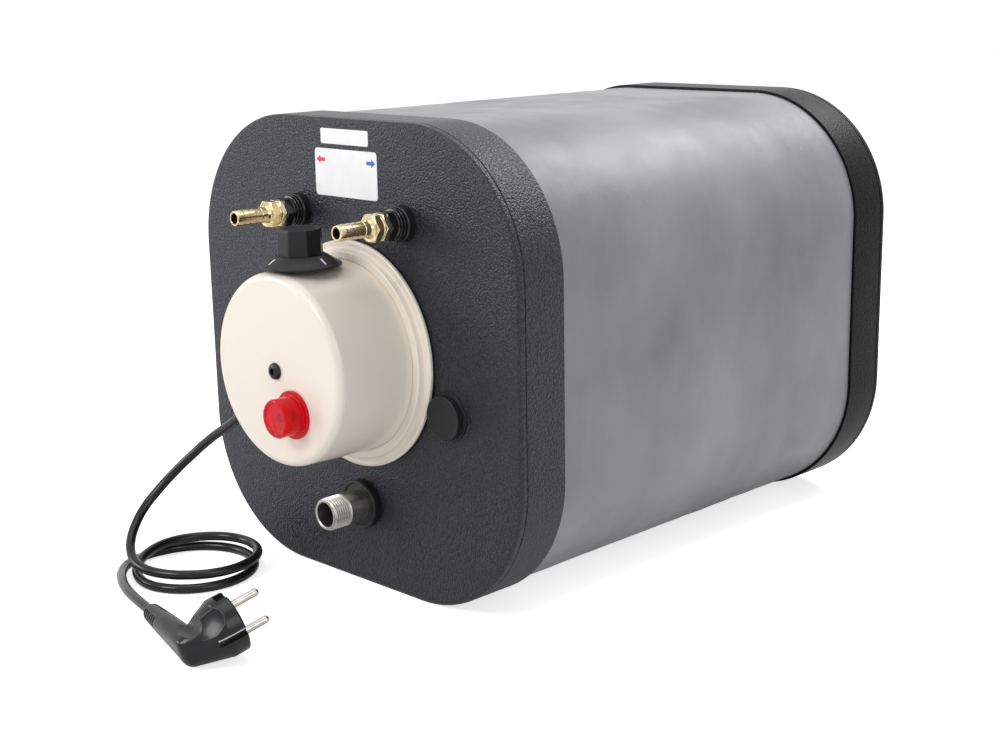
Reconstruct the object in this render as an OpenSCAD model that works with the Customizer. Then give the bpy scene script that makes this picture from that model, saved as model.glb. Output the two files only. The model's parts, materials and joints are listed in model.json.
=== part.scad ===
// Electric storage water heater for a caravan: an insulated stainless tank in a rounded square casing,
// with a heater flange, thermostat and lamp under a round terminal cover on its front.
// +Z is up, the front faces -Y, and the origin is on the floor under the middle of the heater.

/* [Casing] */
// Width of the casing
case_w = 300; // [284:1:340]
// Height of the casing
case_h = 300; // [284:1:340]
// Length of the casing, from cover face to cover face
case_l = 382; // [360:1:480]
// Radius of the casing's four long corners
case_r = 90; // [70:1:115]
// Length of a cover's lip over the jacket
lip_l = 38; // [25:1:60]
// Thickness of a cover's face
cover_t = 3; // [2:0.5:4]
// Thickness of a cover's lip
lip_t = 2; // [1.5:0.25:3]
// Radius of a cover's outer edge
edge_r = 4; // [3:0.5:6]
// Thickness of the jacket sheet
jacket_t = 1; // [0.6:0.2:2]

/* [Tank] */
// Outer radius of the tank
tank_r = 126; // [116:1:130]
// Wall of the tank
tank_t = 1.2; // [0.8:0.2:2.4]
// Depth of a dished tank end
dish_h = 30; // [22:1:40]
// Straight skirt on a tank end
skirt_l = 8; // [4:1:20]
// Distance from a casing face to the tank end behind it
tank_gap = 26; // [22:1:40]

/* [Heater flange] */
// Depth of the flange's seat behind the front face
seat_depth = 10; // [9:0.5:14]
// Radius of the flange
flange_r = 46; // [45:0.5:50]
// Radius of the opening in the welded flange ring
flange_bore_r = 34; // [32:0.5:35]
// Thickness of the heater flange
flange_t = 4; // [3:0.5:5]
// Thickness of the flange gasket
gasket_t = 2; // [1:0.5:3]
// Number of flange studs
stud_count = 6; // [4:1:8]
// Radius of the flange studs' pitch circle
stud_pitch_r = 40; // [39:0.5:41]
// Radius of a flange stud
stud_r = 3; // [2.5:0.5:3]
// Length of a flange stud beyond its nut
stud_spare = 3; // [1:0.5:5]
// Width of a flange nut across its flats
nut_af = 10; // [9:0.5:10.5]
// Height of a flange nut
nut_h = 5; // [3:0.5:6]
// Reach of the heating element behind the front face, to the start of its bend
element_l = 250; // [150:5:270]
// Radius of the heating element's tube
element_r = 4.25; // [3:0.25:5]
// Half the distance between the heating element's legs
element_half_w = 20; // [14:1:22]
// Reach of the thermostat pocket behind the front face
pocket_l = 220; // [140:5:280]
// Outer radius of the thermostat pocket
pocket_r = 5; // [4:0.5:6]
// Length of the thermostat bulb
bulb_l = 100; // [40:5:120]

/* [Terminal cover] */
// Place of the terminal cover's axis to the right of the middle
cup_x = 6; // [-10:1:12]
// Height of the terminal cover's axis above the middle
cup_rise = 3; // [-5:1:10]
// Radius of the terminal cover at its front
cup_r = 60; // [58:0.5:64]
// How much wider the terminal cover is at its foot
cup_draft = 1.2; // [0.4:0.2:3]
// Reach of the terminal cover in front of the casing
cup_l = 64; // [60:1:80]
// Wall of the terminal cover
cup_t = 2.5; // [2:0.25:3.5]
// Radius of the terminal cover's front edge
cup_edge_r = 5; // [3.5:0.5:8]
// Radius of the base ring's flange
ring_r = 72.6; // [71:0.2:78]
// Radius of the base ring's upper step
ring_step_r = 66; // [65.5:0.5:70]
// Thickness of the base ring's flange
ring_flange_t = 2.5; // [2:0.5:4]
// Height of the base ring
ring_h = 7; // [5:0.5:10]
// Thickness of the ledge in the base ring
ledge_t = 2; // [1:0.5:2]
// Thickness of the seal under the base ring
seal_t = 1; // [0.5:0.25:2]
// Radius of the cover screw's head
screw_head_r = 5.2; // [4:0.2:7]
// Height of the cover screw's head
screw_head_h = 3; // [2:0.25:4]
// Radius of the cover screw's shank
screw_r = 2; // [1.5:0.25:2.5]
// Length of the cover screw's shank
screw_l = 14; // [10:1:24]

/* [Lamp] */
// Place of the lamp to the right of the terminal cover's axis
lamp_x = 16; // [8:1:24]
// Place of the lamp below the terminal cover's axis
lamp_drop = 24.5; // [20:0.5:32]
// Radius of the lens
lens_r = 12; // [9:0.5:14]
// Radius of the lens flange
lens_flange_r = 15; // [14.5:0.5:18]
// Reach of the lens in front of the terminal cover
lens_l = 15; // [10:1:22]
// Radius of the lamp body
lamp_r = 9; // [7:0.5:10]
// Depth of the lamp body behind the terminal cover's front
lamp_l = 16; // [10:1:20]

/* [Thermostat] */
// Distance of the knob's axis in front of the casing
knob_out = 41; // [36:1:46]
// Radius of the knob's skirt
knob_r = 25; // [22:0.5:27]
// Height of the knob's conical skirt
skirt_h = 7; // [6:0.5:10]
// Height of the knob's grip above its skirt
grip_h = 16; // [10:1:24]
// Width of the knob's eight-sided grip across its flats
grip_af = 26.5; // [20:0.5:28]
// Radius of the thermostat spindle
spindle_r = 3; // [2:0.5:3.5]
// Radius of the thermostat's threaded neck
neck_r = 5; // [4.5:0.5:6]
// Width of the thermostat body
thermo_w = 34; // [28:1:38]
// Length of the thermostat body
thermo_l = 30; // [24:1:32]
// Height of the thermostat body
thermo_h = 26; // [20:1:28]
// Stroke of the limiter's reset button
button_stroke = 1.5; // [1:0.25:2]
// Radius of the limiter's reset button
button_r = 2.5; // [1.5:0.25:3.5]
// Radius of the limiter's body
limiter_r = 9; // [7:0.5:9]

/* [Water connections] */
// Place of the hot outlet to the left of the middle
hot_x = 45; // [40:1:60]
// Place of the cold inlet to the right of the middle
cold_x = 54; // [46:1:60]
// Height of the hot outlet and the cold inlet above the middle
tail_rise = 90; // [86:1:96]
// Outer radius of the water pipes
pipe_r = 7.5; // [6:0.25:8]
// Wall of the water pipes
pipe_t = 1; // [0.8:0.2:2]
// Radius of the couplings on the pipes
coupling_r = 9.8; // [9.5:0.1:11]
// Length of a coupling
coupling_l = 11.5; // [9:0.5:16]
// Radius of a hose tail at its barbs, half the bore of the hose
barb_r = 5; // [4:0.25:6]
// Depth of a barb
barb_depth = 0.8; // [0.4:0.1:1]
// Number of barbs on a hose tail
barb_count = 4; // [2:1:6]
// Length of one barb
barb_l = 4.75; // [3:0.25:6]
// Plain length of a hose tail behind its barbs
barb_land_l = 6; // [4:0.5:10]
// Radius of a hose tail's bore
tail_bore_r = 3.4; // [2:0.2:3.6]
// Width of a hose tail's hexagon across its flats
tail_af = 16; // [13:0.5:19]
// Place of the drain to the right of the middle
drain_x = 8; // [-10:1:20]
// Depth of the drain below the middle
drain_drop = 96; // [90:1:104]
// Outer radius of the drain's pipe thread
drain_r = 10.48; // [8:0.02:12]
// Radius of the drain's bore
drain_bore_r = 8; // [5:0.25:8]
// Depth of the drain's thread
thread_depth = 1.16; // [0.5:0.02:1.3]
// Pitch of the drain's thread
thread_pitch = 1.814; // [1:0.002:2.5]
// Number of turns of the drain's thread
thread_turns = 8; // [4:1:10]
// Plain length of the drain pipe in front of its grommet
drain_land_l = 13; // [8:0.5:20]
// Length of a grommet in front of the cover
grommet_l = 5.5; // [3:0.5:8]
// Place of the blanking plug to the right of the middle
blank_x = 90; // [88:1:100]
// Depth of the blanking plug below the middle
blank_drop = 24; // [10:1:40]
// Radius of the blanking plug's head
blank_r = 13.8; // [13:0.2:16]

/* [Mains cord] */
// Diameter of the mains cord
cord_d = 6.3; // [5:0.1:6.6]
// Direction in which the cord leaves the terminal cover, in degrees from +X
gland_angle = 213; // [205:1:220]
// Distance of the cord's exit in front of the casing
gland_out = 42; // [36:1:46]
// Length of the strain relief in front of its collar
relief_l = 24; // [20:1:40]
// Diameter of the plug's face
plug_d = 37; // [35:0.5:39]
// Distance between the plug's two pins
pin_gap = 19; // [17:0.5:20]
// Diameter of a plug pin
pin_d = 4.8; // [4:0.1:5]
// Length of a plug pin
pin_l = 19; // [15:0.5:20]

/* [Hidden] */
$fn = 96;

// Clearances and the cutters' overrun
fit = 0.1;       // between round pieces that are welded, screwed or pushed together
foam_fit = 0.2;  // round the insulation
slide_fit = 0.05; // round the spindle and the reset button
air = 0.6;       // between the turning knob and the terminal cover
cut = 1;         // by which a cutter runs past a face

// Places along the heater. The front face is at face_y, and the lens reaches furthest in front of it
mid_z = case_h / 2;
cup_z = mid_z + cup_rise;
tail_z = mid_z + tail_rise;
drain_z = mid_z - drain_drop;
blank_z = mid_z - blank_drop;
face_y = (cup_l + lens_l - case_l) / 2;

// Tank: a dished end is a cap of a sphere
dish_r = (tank_r * tank_r + dish_h * dish_h) / (2 * dish_h);
tank_l = case_l - 2 * tank_gap;
function dish_depth(x, z) = tank_gap + dish_r - sqrt(dish_r * dish_r - x * x - (z - mid_z) * (z - mid_z));

// Flange stack, as distances out of the front face
seat_out = -seat_depth;
plate_out = seat_out + gasket_t;
plate_front = plate_out + flange_t;
nut_front = plate_front + nut_h;
opening_room = 6;
opening_r = flange_r + opening_room;
weld_reach = 4;
ring_depth = dish_depth(abs(cup_x) + flange_r, cup_z + flange_r * sign(cup_rise)) + weld_reach;

// Terminal cover
foot_out = seal_t + ledge_t;
cup_foot_r = cup_r + cup_draft;
cup_inner_front = cup_l - cup_t;
function cup_r_at(out) = cup_foot_r - cup_draft * (out - foot_out) / (cup_l - cup_edge_r - foot_out);
ledge_w = 5;
ledge_r = cup_foot_r - ledge_w;
ring_bore_r = cup_foot_r + foam_fit;
pillar_af = 10;
tap_spare = 3;
tap_depth = screw_l + tap_spare;

// Thermostat, as heights above the terminal cover's axis
boss_drop = 0.2;
boss_l = 11;
boss_top = cup_foot_r - boss_drop;
boss_foot = boss_top - boss_l;
boss_r = 9;
neck_nut_af = 14;
neck_nut_h = 2.5;
neck_spare = 1;
neck_top = boss_top + neck_nut_h + neck_spare;
rim_h = cup_foot_r + air;
knob_top = rim_h + skirt_h + grip_h;
grip_sides = 8;
grip_turn = 180 / grip_sides;
grip_r = grip_af / 2 / cos(grip_turn);
grip_taper = 0.5;
skirt_land = 1;
skirt_top_r = grip_r + skirt_land;
knob_wall = 2.5;
spindle_depth = 8;
knob_roof = 4;
spindle_foot = boss_foot - spindle_depth;
spindle_top = knob_top - knob_roof;

// Places on the heater flange, from the terminal cover's axis
leg_y = -14;
pocket_y = 20;
limiter_y = -24;
limiter_l = 10;
button_rest = 3.5;
button_depth = 6;
earth_x = 24;
earth_y = 14;
earth_r = 2.5;
earth_l = 13;
earth_nut_af = 8;
earth_nut_h = 4;
block_size = [24, 14, 16];
block_corner = [-33, 5];
block_screw_r = 2;
terminal_r = 2;
bead_r = 4;
bead_h = 5;
leg_stub = 6;
terminal_l = 12;
leg_front = plate_front + leg_stub;
terminal_front = leg_front + terminal_l;
pocket_wall = 0.8;
pocket_stub = 4;
pocket_front = plate_front + pocket_stub;
bulb_fit = 0.3;
bulb_end_gap = 8;
bulb_r = pocket_r - pocket_wall - bulb_fit;
bulb_back = -(pocket_l - bulb_end_gap);

// Water connections
tail_hole_r = 9.5;
tail_collar_r = 11.2;
drain_hole_r = 13;
drain_collar_r = 16;
back_collar_l = 2;
pipe_stub = 8;
pipe_front = grommet_l + pipe_stub;
coupling_step = 0.8;
coupling_hex_l = 6;
coupling_ribs = 2;
coupling_rib_w = 1.4;
coupling_rib_pitch = 2.4;
coupling_front = grommet_l + coupling_l;
tail_stub_r = 5.5;
tail_thread_r = 7.1;
tail_thread_l = 5;
lock_l = 3.2;
tail_hex_l = 5;
tail_hex_out = coupling_front + tail_thread_l;
barb_out = tail_hex_out + tail_hex_l + barb_land_l;
tail_front = barb_out + barb_count * barb_l;
inner_reach = 26;
hot_bend_r = 15;
cold_bend_r = 20;
hot_end_l = 2;
dip_drop = 165;
drain_reach = 8;
drain_step = 0.6;
drain_pipe_r = drain_r - drain_step;
drain_thread_out = grommet_l + drain_land_l;
drain_front = drain_thread_out + thread_turns * thread_pitch;
blank_hole_r = 11;
blank_flange_w = 1.5;
blank_flange_r = blank_r + blank_flange_w;
blank_barb = 1;
blank_flange_t = 1;
blank_l = 6;
blank_edge_r = 1.5;

// Cord: y runs from the front face and z from the floor. The route's points are chosen by hand
gland_wall_r = cup_r_at(gland_out);
gland_hole_r = 6.5;
gland_collar_r = 8.5;
gland_collar_t = 3;
gland_gap = 0.25;
gland_nut_gap = 1;
gland_nut_t = 3;
relief_root = gland_wall_r + gland_gap + gland_collar_t;
relief_tip = relief_root + relief_l;
relief_ribs = 6;
relief_wall = 1;
rib_share = 0.7;
rib_depth = 0.8;
gland_dir = [cos(gland_angle), 0, sin(gland_angle)];
gland_tip = [cup_x, -gland_out, cup_z] + relief_tip * gland_dir;
cord_route = [[-77.8, -42, 98.8], [-96.2, -43, 87.5], [-114.4, -47.1, 72.9], [-126.8, -55, 59.1],
  [-132.8, -64.6, 47.6], [-134.3, -75.1, 37.5], [-130.6, -85.7, 27.8], [-124.6, -92.9, 21.7],
  [-116.8, -98.4, 17.1], [-107, -102.1, 13.7], [-96.6, -103, 11.8], [-85.3, -101, 11]];
tail_route = [[-134.4, -80.9, 3.4], [-127.9, -94.1, 4.4], [-114, -107.6, 6.1], [-94.4, -119.9, 8.6],
  [-75.1, -129.1, 10.7], [-58.1, -135.3, 12.2], [-41.1, -140.3, 13.4]];

// The coil's two loops, from the upper to the lower one, about a point that moves a little
coil_centre = [-91.5, -61];
coil_shift = -6;
coil_start = 310;
coil_end = 585;
coil_r = 38;
coil_swell = 2;
coil_opening = 5;
swell_span = [220, 340];
opening_span = [440, 640];
drop_span = [220, 330];
shift_span = [160, 400];
coil_floor_gap = 0.2;
coil_air = 1;
coil_floor_z = cord_d / 2 + coil_floor_gap;
coil_layer = cord_d + coil_air;
rings_per_loop = 24;
// Share from 0 to 1, smooth at both ends, of the way through a span of the coil's angle
function ease(t, span) = let (s = min(1, max(0, (t - span[0]) / (span[1] - span[0])))) s * s * (3 - 2 * s);
function coil_radius(t) = coil_r + coil_swell * ease(t, swell_span) + coil_opening * ease(t, opening_span);
function coil_height(t) = coil_floor_z + coil_layer * (1 - ease(t, drop_span));
function coil_point(t) = let (a = coil_start + t) [
  coil_centre.x + coil_radius(t) * cos(a),
  coil_centre.y + coil_shift * ease(t, shift_span) + coil_radius(t) * sin(a),
  coil_height(t)];
coil_in_dir = unit(coil_point(1) - coil_point(0));
coil_out_dir = unit([for (i = [0 : 2]) i == 2 ? 0 : coil_point(coil_end)[i] - coil_point(coil_end - 1)[i]]);
coil_in = coil_point(0) - cord_d * coil_in_dir;
coil_out = coil_point(coil_end) + cord_d * coil_out_dir;

// The coil's least gap to itself, on points half a turn or more apart along the cord
coil_probe = [for (t = [0 : 5 : coil_end]) coil_point(t)];
coil_gap = min([for (i = [0 : len(coil_probe) - 1], j = [i + 36 : len(coil_probe) - 1])
  norm(coil_probe[j] - coil_probe[i])]) - cord_d;
echo(coil_gap_mm = coil_gap);

// Plug: its face's centre, its heading and its tilt. The cord leaves it square to its pins, from an elbow
plug_face = [44.8, -131.3, 23];
plug_heading = -13;
plug_pitch = 17.5;
plug_t = 16;
elbow_depth = 29.8;
elbow_size = [9, 13, 8];
boot_root = 35;
boot_l = 61.8;
boot_root_r = 7.2;
boot_tip_r = 5.6;
boot_grooves = 7;
clip_w = 4;
clip_t = 0.8;
clip_l = 17.5;
clip_inset = 2.6;
plug_facets = 32;
function plug_dir(v) = let (
    y = v.z * cos(plug_pitch) + v.y * sin(plug_pitch),
    z = v.z * sin(plug_pitch) - v.y * cos(plug_pitch))
  [v.x * cos(plug_heading) - y * sin(plug_heading), v.x * sin(plug_heading) + y * cos(plug_heading), z];
boot_tip = plug_face + plug_dir([-boot_l, 0, -elbow_depth]);

function unit(v) = v / norm(v);
function square_to(v, d) = unit(v - (v * d) * d);
// Directions along a path whose first and last directions are given
function path_dirs(p, first, last) = [for (i = [0 : len(p) - 1])
  i == 0 ? unit(first) : i == len(p) - 1 ? unit(last) : unit(unit(p[i + 1] - p[i]) + unit(p[i] - p[i - 1]))];
// A side direction for each point of a path, carried along it without twist
function path_sides(d) = [for (i = 0, s = square_to([0.31, 0.42, 0.85], d[0]); i < len(d);
  i = i + 1, s = square_to(s, d[min(i, len(d) - 1)])) s];

// Frame of a piece on the front: x to the right, y up, z out of the front face
module on_front(x, z) translate([x, face_y, z]) rotate([90, 0, 0]) children();
module on_cup() on_front(cup_x, cup_z) children();
// Frame of the rear face, z out of it
module on_rear() translate([0, face_y + case_l, mid_z]) rotate([-90, 0, 0]) children();
// Frame along the knob's axis, z up from the terminal cover's axis
module on_knob() translate([cup_x, face_y - knob_out, cup_z]) children();
// Frame along the cord's exit, z outwards from the terminal cover's axis
module on_gland() on_cup() translate([0, 0, gland_out]) rotate([0, 0, gland_angle]) rotate([0, 90, 0])
  children();
// Frame of the plug, z along its pins out of its face
module on_plug() translate(plug_face + [0, face_y, 0]) rotate([0, 0, plug_heading])
  rotate([plug_pitch - 90, 0, 0]) children();
module at_studs() for (i = [0 : stud_count - 1]) rotate(360 * i / stud_count) translate([stud_pitch_r, 0, 0])
  children();
module at_legs() for (s = [-1, 1]) translate([s * element_half_w, leg_y, 0]) children();

// Cylinder from z = a to z = b
module bar(r, a, b) translate([0, 0, a]) cylinder(r = r, h = b - a);
module tube_bar(r, bore, a, b) difference() {
  bar(r, a, b);
  bar(bore, a - cut, b + cut);
}
module hex_bar(af, a, b) translate([0, 0, a]) cylinder(r = af / 2 / cos(30), h = b - a, $fn = 6);

// Section of reach x height whose outer upper corner is rounded by f
module edge_profile(reach, height, f) {
  square([reach - f, height]);
  square([reach, height - f]);
  translate([reach - f, height - f]) circle(f);
}
// Disc of radius r from z = a to z = b with its far edge rounded by f
module round_disc(r, a, b, f) translate([0, 0, a]) rotate_extrude() edge_profile(r, b - a, f);

// Block with a rounded square outline, from z = a to z = b, whose far edge is rounded by f
module rounded_block(w, h, r, a, b, f) translate([0, 0, a]) {
  for (sx = [0, 1], sy = [0, 1]) mirror([sx, 0, 0]) mirror([0, sy, 0])
    translate([w / 2 - r, h / 2 - r, 0]) rotate_extrude(angle = 90) edge_profile(r, b - a, f);
  for (s = [0, 1]) mirror([s, 0, 0]) translate([0, h / 2 - r, 0]) rotate([90, 0, 0])
    linear_extrude(h - 2 * r) translate([w / 2 - r, 0]) edge_profile(r, b - a, f);
  for (s = [0, 1]) mirror([0, s, 0]) translate([-(w / 2 - r), 0, 0]) rotate([90, 0, 90])
    linear_extrude(w - 2 * r) translate([h / 2 - r, 0]) edge_profile(r, b - a, f);
  translate([-(w / 2 - r), -(h / 2 - r), 0]) cube([w - 2 * r, h - 2 * r, b - a]);
}
// The same block, inset all round and without a rounded edge
module plain_block(inset, a, b) translate([0, 0, a]) {
  w = case_w - 2 * inset;
  h = case_h - 2 * inset;
  r = case_r - inset;
  for (sx = [0, 1], sy = [0, 1]) mirror([sx, 0, 0]) mirror([0, sy, 0])
    translate([w / 2 - r, h / 2 - r, 0]) rotate_extrude(angle = 90) square([r, b - a]);
  translate([-w / 2, -(h / 2 - r), 0]) cube([w, h - 2 * r, b - a]);
  translate([-(w / 2 - r), -h / 2, 0]) cube([w - 2 * r, h, b - a]);
}

// Round tube along a path, whose end faces are square to the first and last directions
module swept(path, r, sides, first, last) {
  d = path_dirs(path, first, last);
  s = path_sides(d);
  n = len(path);
  points = [for (i = [0 : n - 1], k = [0 : sides - 1])
    path[i] + r * (cos(360 * k / sides) * s[i] + sin(360 * k / sides) * cross(s[i], d[i]))];
  walls = [for (i = [0 : n - 2], k = [0 : sides - 1])
    let (a = i * sides + k, b = i * sides + (k + 1) % sides)
      each [[a, a + sides, b + sides], [a, b + sides, b]]];
  caps = [for (k = [1 : sides - 2]) each [[0, k, k + 1],
    [(n - 1) * sides, (n - 1) * sides + k + 1, (n - 1) * sides + k]]];
  polyhedron(points, concat(walls, caps), convexity = 10);
}

// Casing
jacket_inset = lip_t + fit;
foam_inset = jacket_inset + jacket_t + foam_fit;
inner_edge_r = max(edge_r - lip_t, 0.5);
shell_end = cover_t + inner_edge_r;
module cover_shell() difference() {
  rounded_block(case_w, case_h, case_r, -lip_l, 0, edge_r);
  rounded_block(case_w - 2 * lip_t, case_h - 2 * lip_t, case_r - lip_t, -lip_l - cut, -cover_t, inner_edge_r);
}
// Every hole through the front cover and the foam behind it, by its radius beyond the cover's own hole
module front_ways(extra, a, b) {
  on_cup() bar(opening_r, a, b);
  for (x = [-hot_x, cold_x]) on_front(x, tail_z) bar(tail_hole_r + extra, a, b);
  on_front(drain_x, drain_z) bar(drain_hole_r + extra, a, b);
}
module front_cover() color("#3a3b40") difference() {
  on_front(0, mid_z) cover_shell();
  front_ways(0, -cover_t - cut, cut);
  on_front(blank_x, blank_z) bar(blank_hole_r, -cover_t - cut, cut);
}
module rear_cover() color("#3a3b40") on_rear() cover_shell();
module jacket() color("#85858b") on_front(0, mid_z) difference() {
  plain_block(jacket_inset, -case_l + shell_end, -shell_end);
  plain_block(jacket_inset + jacket_t, -case_l + shell_end - cut, -shell_end + cut);
}
module insulation_sleeve() color("ivory") on_front(0, mid_z) difference() {
  plain_block(foam_inset, -case_l + tank_gap + dish_h, -tank_gap - dish_h);
  bar(tank_r + foam_fit, -case_l, 0);
}
module foam_end() difference() {
  plain_block(foam_inset, -tank_gap - dish_h, -shell_end);
  translate([0, 0, -tank_gap - dish_r]) sphere(dish_r + foam_fit);
}
foam_room = 3.5;
blank_room = 8;
module insulation_front() color("ivory") difference() {
  on_front(0, mid_z) foam_end();
  front_ways(foam_room, -case_l / 2, cut);
  on_front(blank_x, blank_z) bar(blank_flange_r, -blank_room, cut);
}
module insulation_rear() color("ivory") on_rear() foam_end();

// Tank
module tank_end() {
  difference() {
    intersection() {
      translate([0, 0, -tank_gap - dish_r]) sphere(dish_r);
      bar(tank_r + cut, -tank_gap - dish_h, 0);
    }
    translate([0, 0, -tank_gap - dish_r]) sphere(dish_r - tank_t);
  }
  tube_bar(tank_r, tank_r - tank_t, -tank_gap - dish_h - skirt_l, -tank_gap - dish_h);
}
module tank_barrel() color("silver") on_front(0, mid_z)
  tube_bar(tank_r, tank_r - tank_t, -case_l + tank_gap + dish_h + skirt_l, -tank_gap - dish_h - skirt_l);
module tank_front_end() color("silver") difference() {
  on_front(0, mid_z) tank_end();
  on_cup() bar(flange_r + fit, -case_l / 2, 0);
  for (x = [-hot_x, cold_x]) on_front(x, tail_z) bar(pipe_r + fit, -case_l / 2, 0);
  on_front(drain_x, drain_z) bar(drain_pipe_r + fit, -case_l / 2, 0);
}
module tank_rear_end() color("silver") on_rear() tank_end();

// Heater flange
module flange_ring() color("silver") on_cup() tube_bar(flange_r, flange_bore_r, -ring_depth, seat_out);
module flange_studs() color("gray") on_cup() at_studs() bar(stud_r, seat_out, nut_front + stud_spare);
module flange_gasket() color("black") on_cup() difference() {
  tube_bar(flange_r, flange_bore_r, seat_out, plate_out);
  at_studs() bar(stud_r + fit, seat_out - cut, plate_out + cut);
}
module heater_flange() color("gold") on_cup() difference() {
  bar(flange_r, plate_out, plate_front);
  at_studs() bar(stud_r + fit, plate_out - cut, plate_front + cut);
  at_legs() bar(element_r + fit, plate_out - cut, plate_front + cut);
  translate([0, pocket_y, 0]) bar(pocket_r + fit, plate_out - cut, plate_front + cut);
}
module flange_nuts() color("gray") on_cup() at_studs() difference() {
  hex_bar(nut_af, plate_front, nut_front);
  bar(stud_r + fit, plate_front - cut, nut_front + cut);
}
module heating_element() color("silver") on_cup() {
  at_legs() bar(element_r, -element_l, leg_front);
  translate([0, leg_y, -element_l]) rotate([-90, 0, 0]) rotate_extrude(angle = 180)
    translate([element_half_w, 0]) circle(element_r);
}
module element_terminals() color("white") on_cup() at_legs() {
  bar(bead_r, leg_front, leg_front + bead_h);
  bar(terminal_r, leg_front + bead_h, terminal_front);
}
module thermostat_pocket() color("silver") on_cup() translate([0, pocket_y, 0]) difference() {
  bar(pocket_r, -pocket_l, pocket_front);
  bar(pocket_r - pocket_wall, -pocket_l + 2 * pocket_wall, pocket_front + cut);
}
module thermostat_bulb() color("peru") on_cup() translate([0, pocket_y, 0])
  bar(bulb_r, bulb_back, bulb_back + bulb_l);
capillary_r = 0.9;
capillary_sides = 8;
capillary_bend = 8;
capillary_steps = [2, 7, 10];
thermo_back = knob_out - thermo_l / 2;
module capillary() color("peru") on_cup() {
  step = pocket_y * [1, 1, 1] + capillary_steps;
  route = [[0, pocket_y, bulb_back + bulb_l], [0, pocket_y, pocket_front],
    [0, step[0], pocket_front + capillary_bend], [0, step[1], thermo_back - capillary_bend],
    [0, step[2], thermo_back]];
  swept(route, capillary_r, capillary_sides, [0, 0, 1], [0, 0, 1]);
}
module cover_pillar() color("silver") on_cup() difference() {
  hex_bar(pillar_af, plate_front, cup_inner_front);
  bar(screw_r + fit, cup_inner_front - tap_depth, cup_inner_front + cut);
}

// Terminal cover
module cup_profile(inset) {
  front = cup_l - inset;
  edge = cup_edge_r - inset;
  bend = cup_l - cup_edge_r;
  polygon([[0, foot_out - inset], [cup_foot_r - inset, foot_out - inset], [cup_foot_r - inset, foot_out],
    [cup_r - inset, bend], [0, bend]]);
  translate([0, bend]) square([cup_r - inset - edge, front - bend]);
  translate([cup_r - inset - edge, bend]) circle(edge);
}
module terminal_cover() color("#f2ead8") difference() {
  union() {
    on_cup() difference() {
      rotate_extrude() cup_profile(0);
      rotate_extrude() cup_profile(cup_t);
    }
    on_knob() bar(boss_r, boss_foot, boss_top);
  }
  on_cup() bar(screw_r + foam_fit, cup_inner_front - cut, cup_l + cut);
  on_cup() translate([lamp_x, -lamp_drop, 0]) bar(lamp_r + fit, cup_inner_front - cut, cup_l + cut);
  on_knob() bar(neck_r + fit, boss_foot - cut, boss_top + cut);
  on_gland() bar(gland_hole_r + fit, cup_r - 3 * cup_t, cup_foot_r + cut);
}
ring_edge = 0.8;
module cover_base_ring() color("#f2ead8") on_cup() difference() {
  union() {
    round_disc(ring_r, seal_t, seal_t + ring_flange_t, ring_edge);
    round_disc(ring_step_r, seal_t, seal_t + ring_h, ring_edge);
  }
  bar(ring_bore_r, foot_out, seal_t + ring_h + cut);
  bar(ledge_r, seal_t - cut, foot_out + cut);
}
module base_ring_seal() color("black") on_cup() tube_bar(ring_r - fit, ledge_r, 0, seal_t);
recess_r = 2.2;
recess_depth = 1.8;
module cover_screw() color("#1c1c1e") on_cup() {
  difference() {
    round_disc(screw_head_r, cup_l, cup_l + screw_head_h, screw_head_h / 2);
    translate([0, 0, cup_l + screw_head_h - recess_depth]) cylinder(r = recess_r, h = screw_head_h, $fn = 6);
  }
  bar(screw_r, cup_l - screw_l, cup_l + cut);
}

// Lamp
lens_t = 2;
lens_flange_t = 2.2;
lens_edge = 2;
module on_lamp() on_cup() translate([lamp_x, -lamp_drop, 0]) children();
module lamp_lens() color("red", 0.7) on_lamp() difference() {
  union() {
    round_disc(lens_flange_r, cup_l, cup_l + lens_flange_t, ring_edge);
    round_disc(lens_r, cup_l, cup_l + lens_l, lens_edge);
  }
  bar(lens_r - lens_t, cup_l - cut, cup_l + lens_l - lens_t);
}
lamp_nut_t = 4;
lamp_nut_w = 4;
lamp_nut_r = lamp_r + lamp_nut_w;
lamp_back = cup_l - lamp_l;
module lamp_body() color("white") on_lamp() bar(lamp_r, lamp_back, cup_l + lens_flange_t);
module lamp_nut() color("white") on_lamp()
  tube_bar(lamp_nut_r, lamp_r + fit, cup_inner_front - lamp_nut_t, cup_inner_front);
bulb_glass_r = 3.5;
bulb_dome_out = cup_l + lens_l - 2 * lens_t - bulb_glass_r;
module lamp_bulb() color("orange", 0.8) on_lamp() {
  bar(bulb_glass_r, cup_l + lens_flange_t, bulb_dome_out);
  translate([0, 0, bulb_dome_out]) sphere(bulb_glass_r);
}

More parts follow.
